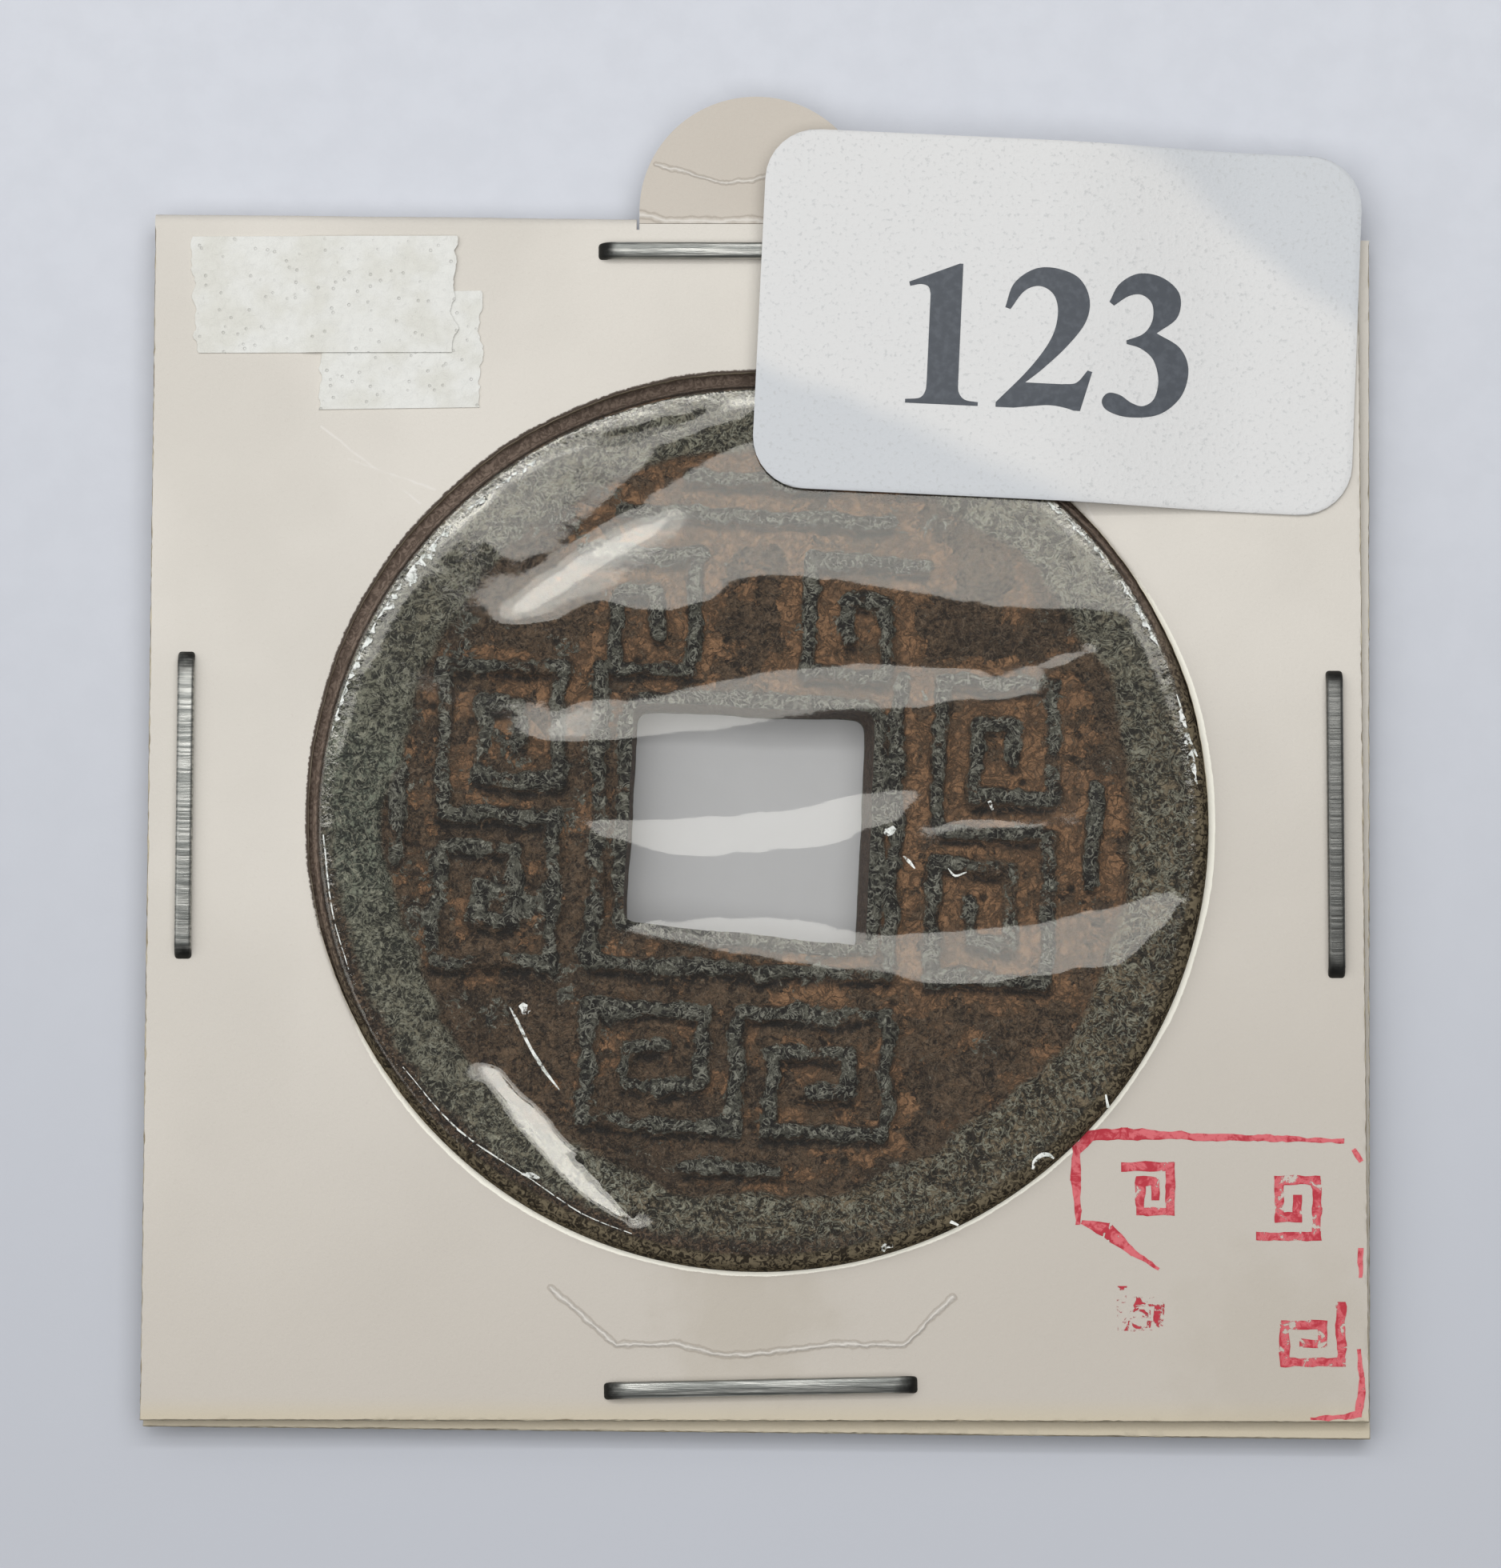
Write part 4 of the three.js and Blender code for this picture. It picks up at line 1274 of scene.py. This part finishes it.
def fold_piece(name, left, right, finish):
    """A length of the fold: card bent half round, from the front panel to the rear one."""
    radius = (CARD_FACE - REAR_CARD[0][2]) / 2
    inner = radius - CARD
    turns = np.linspace(math.pi / 2, -math.pi / 2, 15)
    outer_side = [(math.cos(t) * radius, math.sin(t) * radius) for t in turns]
    inner_side = [(math.cos(t) * inner, math.sin(t) * inner) for t in turns[::-1]]
    section = np.array(outer_side + inner_side)
    columns = 120
    x = np.linspace(left, right, columns)
    x, up = np.broadcast_arrays(x[:, None], section[:, 1])
    swell = 0.02 * roughness_field(x, up, 1.5, 7)
    y = panel_top(x) + section[:, 0] * (1 + swell)
    points = np.stack([x, y, COIN_MIDDLE[2] + up], -1).reshape(-1, 3)
    faces = grid_faces(columns, len(section), join_columns=True).tolist()
    start = list(range(len(section)))
    faces += [start[::-1], [(columns - 1) * len(section) + i for i in start]]
    edge = np.arange(len(faces)) >= len(faces) - 2
    return add_piece(name, points, faces, finish, edge=edge)


# Marks on the front: the line pressed by the gap behind it, scratches, and stains with their
# place, radius and strength
PRESSED_LINE = [
    (-8.5, -19.65), (-5.85, -22), (-3.2, -21.95), (-1.5, -22.45),
    (0.45, -22.3), (3.4, -21.95), (6.1, -22), (8.1, -19.95),
]
SCRATCHES = [
    [(-18.4, 16.6), (-14.2, 13.3)],
    [(-17.2, 15.2), (-13.6, 13.9)],
    [(13, 15), (14.2, 12.4)],
]
STAINS = [(-0.5, -20.7, 4.5, 0.35), (21.5, -22.5, 6, 0.25)]


def front_wear(x, y):
    """How far the front stands up: the pressed line and a faint unevenness."""
    away = distance_to_path(x, y, PRESSED_LINE)
    return 0.03 * between(0.3, 0, away) + 0.015 * lumps(x, y, 6, 3)


def make_card():
    front = card_stock("front card", [(PRESSED_LINE, 0.13, 1.4)], SCRATCHES, STAINS)
    plain = card_stock("card")
    tab_left = TAB_MIDDLE - TAB_RADIUS
    tab_right = TAB_MIDDLE + TAB_RADIUS
    foot = CREASE - 0.02
    outline = [
        (FRONT_LEFT, FRONT_BOTTOM),
        (FRONT_RIGHT, FRONT_BOTTOM),
        (FRONT_RIGHT, panel_top(FRONT_RIGHT)),
        (tab_right, panel_top(tab_right)),
        (tab_right, foot),
        (tab_left, foot),
        (tab_left, panel_top(tab_left)),
        (FRONT_LEFT, panel_top(FRONT_LEFT)),
    ]
    low = FRONT_CARD[0][2]
    front_panel = card_panel("front_card_panel", outline, low, CARD_FACE, 44, front, 1, front_wear)
    fit(front_panel, "holder", "card", "front_card")

    # The gap that the tab was cut from: its sides run straight up from where they point at the
    # window's middle
    gap_radius = TAB_RADIUS + TAB_ROOM
    gap_heart = 2 * CREASE - TAB_HEART
    reach = math.asin(gap_radius / gap_heart) + 0.02
    turns = np.linspace(-reach, reach - math.pi, 25)
    gap = np.stack([np.cos(turns), np.sin(turns)], -1) * gap_radius + (TAB_MIDDLE, gap_heart)
    top = FOLD_START
    ends = [(gap[i][0] * top / gap[i][1] * 1.01, top) for i in (0, -1)]
    rear_right = REAR_LEFT + FRONT_RIGHT - FRONT_LEFT
    square = [
        (REAR_LEFT, REAR_BOTTOM),
        (rear_right, REAR_BOTTOM),
        (rear_right, top),
        ends[0],
        *gap,
        ends[1],
        (REAR_LEFT, top),
    ]
    askew = turned(square, FOLD_SLANT)
    low, high = REAR_CARD[0][2], REAR_CARD[1][2]
    rear_panel = card_panel("rear_card_panel", askew, low, high, 24, plain, 2)
    fit(rear_panel, "holder", "card", "rear_card")

    left = fold_piece("left_card_fold", FRONT_LEFT, tab_left - TAB_ROOM, plain)
    fit(left, "holder", "card", "card_fold_left")
    right = fold_piece("right_card_fold", tab_right + TAB_ROOM, FRONT_RIGHT, plain)
    fit(right, "holder", "card", "card_fold_right")


def make_tab():
    """The half-round index tab, a little bent, with a wavy crease across it."""
    wave = [(-4.4, 27.9), (-2.9, 27.5), (-1.6, 27.1), (-0.6, 27.2), (1.5, 27.6), (4.2, 27.9)]
    crease = [(-5.1, 25.8), (-3.9, 25.45), (4.8, 25.45)]
    # The tab is a darker copy of the card: painted shade of its bend away from the light
    finish = card_stock("index tab", [(wave, 0.1, 1.0), (crease, 0.16, 0.8)], painted_shade=0.7)
    across = np.sin(np.linspace(-math.pi / 2, math.pi / 2, 81)) * TAB_RADIUS
    top = TAB_HEART - CREASE + np.sqrt(np.maximum(TAB_RADIUS**2 - across**2, 0))
    up = np.linspace(0, 1, 31)[:, None] * top
    x = across + 0 * up
    high = CARD_FACE + 0.0012 * up**2 - 0.02 * between(3, 5, np.abs(x))
    tab = slab("index_tab_card", x + TAB_MIDDLE, CREASE + up, high - CARD, high, finish)
    fit(tab, "index_tab", "card", "index_tab")


# The staples


def wire_tree():
    """Geometry Nodes that sweep flat wire along a bent path."""
    tree = bpy.data.node_groups.new("bent flat wire", "GeometryNodeTree")
    sizes = {}
    tree.interface.new_socket("Path", in_out="INPUT", socket_type="NodeSocketGeometry")
    for name in ("Wire width", "Wire thickness", "Bend radius", "Corner radius"):
        socket = tree.interface.new_socket(name, in_out="INPUT", socket_type="NodeSocketFloat")
        sizes[name] = socket.identifier
    finish = tree.interface.new_socket("Finish", in_out="INPUT", socket_type="NodeSocketMaterial")
    sizes["Finish"] = finish.identifier
    tree.interface.new_socket("Wire", in_out="OUTPUT", socket_type="NodeSocketGeometry")

    def node(kind, settings, links):
        made = tree.nodes.new(kind)
        for key, value in settings.items():
            setattr(made, key, value)
        for key, value in links.items():
            if isinstance(value, bpy.types.NodeSocket):
                tree.links.new(value, made.inputs[key])
            else:
                made.inputs[key].default_value = value
        return made.outputs

    given = node("NodeGroupInput", {}, {})
    path = node("GeometryNodeMeshToCurve", {}, {0: given["Path"]})[0]
    bends = {0: path, 1: 6, 2: given["Bend radius"]}
    bent = node("GeometryNodeFilletCurve", {"mode": "POLY"}, bends)[0]
    flat = node("GeometryNodeSetCurveNormal", {"mode": "FREE"}, {0: bent, 2: (0, 1, 0)})[0]
    oblong = {0: given["Wire width"], 1: given["Wire thickness"]}
    section = node("GeometryNodeCurvePrimitiveQuadrilateral", {}, oblong)[0]
    corners = {0: section, 1: 3, 2: given["Corner radius"]}
    rounded = node("GeometryNodeFilletCurve", {"mode": "POLY"}, corners)[0]
    wire = node("GeometryNodeCurveToMesh", {}, {0: flat, 1: rounded, 3: True})[0]
    real = node("GeometryNodeRealizeInstances", {}, {0: wire})[0]
    done = node("GeometryNodeSetMaterial", {}, {0: real, 2: given["Finish"]})[0]
    node("NodeGroupOutput", {}, {0: done})
    return tree, sizes


def make_staples():
    tree, sizes = wire_tree()
    finish = staple_steel()
    half = (CROWN - WIRE_THICKNESS) / 2
    top = CARD_FACE + WIRE_LIFT + WIRE_THICKNESS / 2
    low = REAR_CARD[0][2] - WIRE_LIFT - WIRE_THICKNESS / 2
    path = [
        (-half + TURNED_END, low),
        (-half, low),
        (-half, top),
        (half, top),
        (half, low),
        (half - TURNED_END, low),
    ]
    numbers = {
        "Wire width": WIRE_WIDTH,
        "Wire thickness": WIRE_THICKNESS,
        "Bend radius": WIRE_BEND,
        "Corner radius": WIRE_CORNER,
    }
    for name, (x, y, degrees) in STAPLES.items():
        mesh = bpy.data.meshes.new(name)
        points = [(px * MM, 0, pz * MM) for px, pz in path]
        mesh.from_pydata(points, [(i, i + 1) for i in range(len(path) - 1)], [])
        line = bpy.data.objects.new(name, mesh)
        bpy.context.scene.collection.objects.link(line)
        sweep = line.modifiers.new("wire", "NODES")
        sweep.node_group = tree
        for key, value in numbers.items():
            sweep[sizes[key]] = value * MM
        sweep[sizes["Finish"]] = finish
        line.update_tag()
        bpy.context.view_layer.update()
        evaluated = line.evaluated_get(bpy.context.evaluated_depsgraph_get())
        swept = bpy.data.meshes.new_from_object(evaluated)
        line.modifiers.remove(sweep)
        bpy.data.objects.remove(line)
        flat = np.zeros(len(swept.vertices) * 3)
        swept.vertices.foreach_get("co", flat)
        flat = flat.reshape(-1, 3)
        along = swept.attributes.new("along", "FLOAT", "POINT")
        along.data.foreach_set("value", (flat[:, 0] / MM).astype(np.float32))
        flat[:, :2] = turned(flat[:, :2], math.radians(degrees)) + np.array([x, y]) * MM
        swept.vertices.foreach_set("co", flat.ravel())
        swept.polygons.foreach_set("use_smooth", [True] * len(swept.polygons))
        swept.set_sharp_from_angle(angle=SHARP)
        staple = bpy.data.objects.new(name + "_wire", swept)
        bpy.context.scene.collection.objects.link(staple)
        fit(staple, "holder", "staple_wire", name)


# What is stuck on the front


def label_rise(x):
    """Height of the label's underside at a place along it."""
    over = FRONT_FILM[1][2] + 0.07
    flat = CARD_FACE + 0.06
    return over + (flat - over) * between(*LABEL_BEND, x + LABEL[0])


def make_label():
    width, height = LABEL[2:4]
    turns = np.linspace(0, math.pi / 2, 9)
    corner_y = height / 2 - LABEL_CORNER + LABEL_CORNER * np.sin(turns)
    corner_x = width / 2 - LABEL_CORNER + LABEL_CORNER * np.cos(turns)
    middle_y = np.linspace(-corner_y[0], corner_y[0], 40)[1:-1]
    rows_y = np.concatenate([-corner_y[::-1], middle_y, corner_y])
    limits = np.interp(np.abs(rows_y), corner_y, corner_x)
    across = np.linspace(-1, 1, 161)
    x = limits[:, None] * across
    y = np.broadcast_to(rows_y[:, None], x.shape)
    low = label_rise(x)
    to_edge = np.minimum(height / 2 - np.abs(y), limits[:, None] - np.abs(x))
    high = low + LABEL_THICKNESS - 0.04 * between(0.08, 0, to_edge)
    px, py = placed(x, y, LABEL)
    label = slab("silver_lot_label", px, py, low, high, label_stock())
    fit(label, "holder", "label", "lot_label")


def patch(name, place, rise, seed, finish, node):
    """A patch of tape with torn ends and straight sides."""
    width, height = place[2:4]
    rows = 41
    columns = 91
    v = np.linspace(-0.5, 0.5, rows)[:, None]
    u = np.linspace(-0.5, 0.5, columns)[None, :]
    y = v * height + 0 * u
    torn_left = 0.2 * roughness_field(0 * v, v * 9, 1.3, seed)
    torn_right = 0.2 * roughness_field(0 * v + 5, v * 9, 1.3, seed)
    left = -width / 2 + 0.16 + torn_left
    right = width / 2 - 0.16 + torn_right
    x = left + (right - left) * (u + 0.5)
    low = rise(x)
    crinkle = 0.01 * np.abs(lumps(x, y, 0.9, seed + 9))
    px, py = placed(x, y, place)
    tape = slab(name, px, py, low, low + TAPE_THICKNESS + crinkle, finish)
    fit(tape, "holder", "tape", node)


def make_tapes():
    """The lower patch lies flat, and the upper one climbs on it at its right end."""
    finish = tape_finish()
    low = CARD_FACE + 0.015
    climb = LOWER_TAPE[0] - LOWER_TAPE[2] / 2 - UPPER_TAPE[0]

    def flat(x):
        return low + 0 * x

    def stepped(x):
        return low + 0.085 * between(climb - 0.7, climb, x)

    patch("lower_tape_patch", LOWER_TAPE, flat, 14, finish, "lower_tape")
    patch("upper_tape_patch", UPPER_TAPE, stepped, 18, finish, "upper_tape")


# Outlines of figures 6 mm high, as smooth runs that meet in corners
FIGURE_ONE = [
    [(-1.55, 0), (-1.55, 0.16)],
    [(-1.55, 0.16), (-0.95, 0.24), (-0.72, 0.55), (-0.68, 1)],
    [(-0.68, 1), (-0.68, 4.7)],
    [(-0.68, 4.7), (-0.78, 5), (-1.1, 5.1), (-1.55, 5.0)],
    [(-1.55, 5.0), (-1.6, 5.18)],
    [(-1.6, 5.18), (0.5, 6.05)],
    [(0.5, 6.05), (0.64, 6.05)],
    [(0.64, 6.05), (0.64, 1)],
    [(0.64, 1), (0.68, 0.55), (0.95, 0.24), (1.5, 0.16)],
    [(1.5, 0.16), (1.5, 0)],
    [(1.5, 0), (-1.55, 0)],
]
FIGURE_TWO = [
    [(-1.95, 0), (-1.95, 0.2)],
    [(-1.95, 0.2), (-0.6, 1.7), (0.25, 3), (0.5, 4.1), (0.3, 4.9), (-0.3, 5.25), (-0.95, 5),
     (-1.5, 4.2)],
    [(-1.5, 4.2), (-1.72, 4.28)],
    [(-1.72, 4.28), (-1.4, 5.3), (-0.6, 5.95), (0.3, 6.05), (1.3, 5.7), (1.8, 4.85), (1.7, 3.85),
     (1, 2.8), (0, 1.75), (-0.75, 1.1)],
    [(-0.75, 1.1), (0.8, 1.1)],
    [(0.8, 1.1), (1.4, 1.2), (1.85, 1.75)],
    [(1.85, 1.75), (2.05, 1.7)],
    [(2.05, 1.7), (1.6, 0)],
    [(1.6, 0), (-1.95, 0)],
]
FIGURE_THREE = [
    [(-1.7, 4.75), (-1.3, 5.55), (-0.5, 6.05), (0.5, 5.95), (1.25, 5.3), (1.2, 4.3), (0.35, 3.55)],
    [(0.35, 3.55), (1.35, 3), (1.75, 2.1), (1.5, 0.95), (0.6, 0.1), (-0.7, -0.12), (-1.6, 0.1),
     (-1.85, 0.5), (-1.6, 0.85), (-1.1, 0.8), (-0.6, 0.5), (-0.1, 0.4), (0.35, 0.75), (0.5, 1.55),
     (0.25, 2.4), (-0.3, 2.85), (-0.9, 3)],
    [(-0.9, 3), (-0.92, 3.15)],
    [(-0.92, 3.15), (-0.2, 3.5), (0.15, 4.1), (0.1, 4.8), (-0.35, 5.15), (-0.9, 5.05), (-1.5, 4.6)],
    [(-1.5, 4.6), (-1.7, 4.75)],
]
NUMBER = [(FIGURE_ONE, -4.75), (FIGURE_TWO, -0.55), (FIGURE_THREE, 3.8)]
NUMBER_BASE = -3.86


def make_number():
    """A plain number on the label."""
    loops = []
    fill = []
    grid = np.meshgrid(np.arange(-2.3, 2.3, 0.45), np.arange(-0.2, 6.3, 0.45))
    grid = np.stack(grid, -1).reshape(-1, 2)
    for runs, along in NUMBER:
        outline = np.vstack([smooth_run(run)[:-1] for run in runs])
        inside = inside_outline(*grid.T, outline.tolist(), 0.02) > 0.5
        clear = distance_to_path(*grid.T, [*outline, outline[0]]) > 0.08
        loops.append(outline + (along, NUMBER_BASE))
        fill.append(grid[inside & clear] + (along, NUMBER_BASE))
    turn = math.radians(LABEL[4])
    middle = np.array(LABEL[:2])
    loops = [turned(loop, turn) + middle for loop in loops]
    fill = turned(np.vstack(fill), turn) + middle

    def rise(x, y):
        local = turned(np.stack([x, y], -1) - middle, -turn)
        return label_rise(local[:, 0]) + LABEL_THICKNESS + HAIR

    number = ink_piece("printed_number", loops, [fill], rise, printing_ink())
    fit(number, "holder", "label", "lot_label")


# The broken stamp: lines of ink with their width at each point, and how wet they were
STAMP_LINES = [
    ([(13.3, -13.9), (13.8, -13.3), (15.2, -13.2), (18, -13.3), (21.5, -13.4), (24.3, -13.5)],
     (0.35, 0.45, 0.48, 0.3, 0.27, 0.12), 1.0),
    ([(13.25, -13.7), (13.2, -15), (13.3, -16.9)], (0.36, 0.4, 0.2), 1.0),
    ([(13.5, -16.9), (14.5, -17.2), (15.5, -18.1), (16.6, -18.8)], (0.15, 0.7, 0.3, 0.1), 0.9),
    ([(24.9, -22.2), (25.0, -23.4), (24.85, -24.8), (24.3, -24.95), (22.9, -25.0)],
     (0.18, 0.28, 0.3, 0.2, 0.1), 0.9),
    ([(24.75, -13.9), (25, -14.3)], (0.15, 0.2), 0.9),
    ([(25, -18), (25, -19.1)], (0.3, 0.15), 1.0),
]
# Plain frets in the frame: place, length of the shortest side, quarter turns, mirror, wetness
STAMP_FRETS = [
    (16.5, -15.8, 0.62, 0, 1, 0.7),
    (16.1, -20.7, 0.5, 1, -1, 0.28),
    (22.4, -15.9, 0.78, 2, -1, 0.62),
    (22.6, -21.9, 0.78, 3, 1, 0.6),
]


def make_stamp():
    """A red stamp that printed badly: a broken frame round four plain frets."""
    lines = [(np.array(points), np.array(widths), wet) for points, widths, wet in STAMP_LINES]
    for x, y, side, quarters, mirror, wet in STAMP_FRETS:
        points = turned(np.array(fret(0, 0, mirror)) * side, quarters * math.pi / 2) + (x, y)
        lines.append((points, np.full(len(points), 0.38), wet))
    loops = []
    fill = []
    for points, widths, _ in lines:
        line_loops, core = brushed_line(points, widths, 0.05)
        loops += line_loops
        fill += core

    def rise(x, y):
        return CARD_FACE + front_wear(x, y) + 0.006

    def values(x, y):
        core = np.zeros(len(x))
        damp = np.zeros(len(x))
        for points, widths, wet in lines:
            away = distance_to_path(x, y, points)
            close = between(0.3, 0.02, away)
            damp = np.where(close > core, wet, damp)
            core = np.maximum(core, close)
        return {"core": core, "wet": damp}

    stamp = ink_piece("red_stamp", loops, fill, rise, stamp_ink(), values)
    fit(stamp, "holder", "card", "front_card")


# Surroundings


# Lamps: height, stretch along X and along Y in shares of it, and radiance. The strips stand for
# the lamps that the wrinkled film shows.
LAMPS = {
    "strip": (LAMP_HEIGHT, (-0.4, 0.45), (0.2, 0.33), 2.3),
    "middle strip": (LAMP_HEIGHT, (-0.35, 0.3), (0.33, 0.42), 4.2),
    "bright strip": (LAMP_HEIGHT, (-0.4, 0.55), (0.42, 0.54), 7.2),
    "back": (200, (-1.3, 1), (0.7, 1.5), 0.3),
    "left": (LAMP_HEIGHT, (-2, -0.5), (-0.5, 0.9), 1.3),
    "right": (LAMP_HEIGHT, (0.5, 1.2), (-0.5, 0.9), 0.2),
    "overhead": (LAMP_HEIGHT, (-0.6, 0.6), (-0.65, 0.3), 1.85),
}
FLOOR_REACH = 400


def hang_lamps():
    """Level lamps. The one overhead shows in nothing that is glossy."""
    for name, (height, x, y, radiance) in LAMPS.items():
        lamp = bpy.data.lights.new(name, "AREA")
        lamp.shape = "RECTANGLE"
        lamp.size = (x[1] - x[0]) * height * MM
        lamp.size_y = (y[1] - y[0]) * height * MM
        lamp.energy = radiance * math.pi * lamp.size * lamp.size_y
        hung = bpy.data.objects.new(name, lamp)
        hung.location = (sum(x) / 2 * height * MM, sum(y) / 2 * height * MM, height * MM)
        hung.visible_camera = False
        hung.visible_glossy = name != "overhead"
        bpy.context.scene.collection.objects.link(hung)


def make_surroundings():
    ticks = np.linspace(-FLOOR_REACH, FLOOR_REACH, 3)
    x, y = np.meshgrid(ticks, ticks)
    points = np.stack([x, y, 0 * x], -1).reshape(-1, 3)
    floor = add_piece("floor", points, grid_faces(3, 3).tolist(), floor_finish())
    hang_lamps()
    # The room is dim, and as pale as the floor where it shows behind it
    world = bpy.data.worlds.new("room")
    world.use_nodes = True
    room = Tree(world.node_tree)
    seen = room.node("ShaderNodeLightPath", {}, {})[0]
    sky = {"Color": (0.97, 0.98, 1, 1), "Strength": seen * 0.5 + 0.13}
    light = room.node("ShaderNodeBackground", {}, sky)[0]
    room.node("ShaderNodeOutputWorld", {}, {"Surface": light})
    bpy.context.scene.world = world
    bpy.context.scene.view_settings.view_transform = "Standard"


def make_camera():
    """The camera, turned so that it looks down at VIEW_POINT with a lean and a roll."""
    lens = bpy.data.cameras.new("camera")
    lens.sensor_width = 36
    lens.lens = VIEW_LENS
    lens.clip_start = 0.01
    lens.clip_end = 5
    camera = bpy.data.objects.new("camera", lens)
    back = (camera_place() - VIEW_POINT) / VIEW_DISTANCE
    level_up = np.array([0, math.cos(VIEW_LEAN), math.sin(VIEW_LEAN)])
    right = math.cos(VIEW_ROLL) * np.array([1, 0, 0]) + math.sin(VIEW_ROLL) * level_up
    up = np.cross(back, right)
    place = camera_place() * MM
    rows = [[right[i], up[i], back[i], place[i]] for i in range(3)]
    camera.matrix_world = Matrix([*rows, [0, 0, 0, 1]])
    bpy.context.scene.collection.objects.link(camera)
    bpy.context.scene.camera = camera


make_coin()
make_films()
make_card()
make_tab()
make_staples()
make_label()
make_number()
make_tapes()
make_stamp()
make_surroundings()
make_camera()
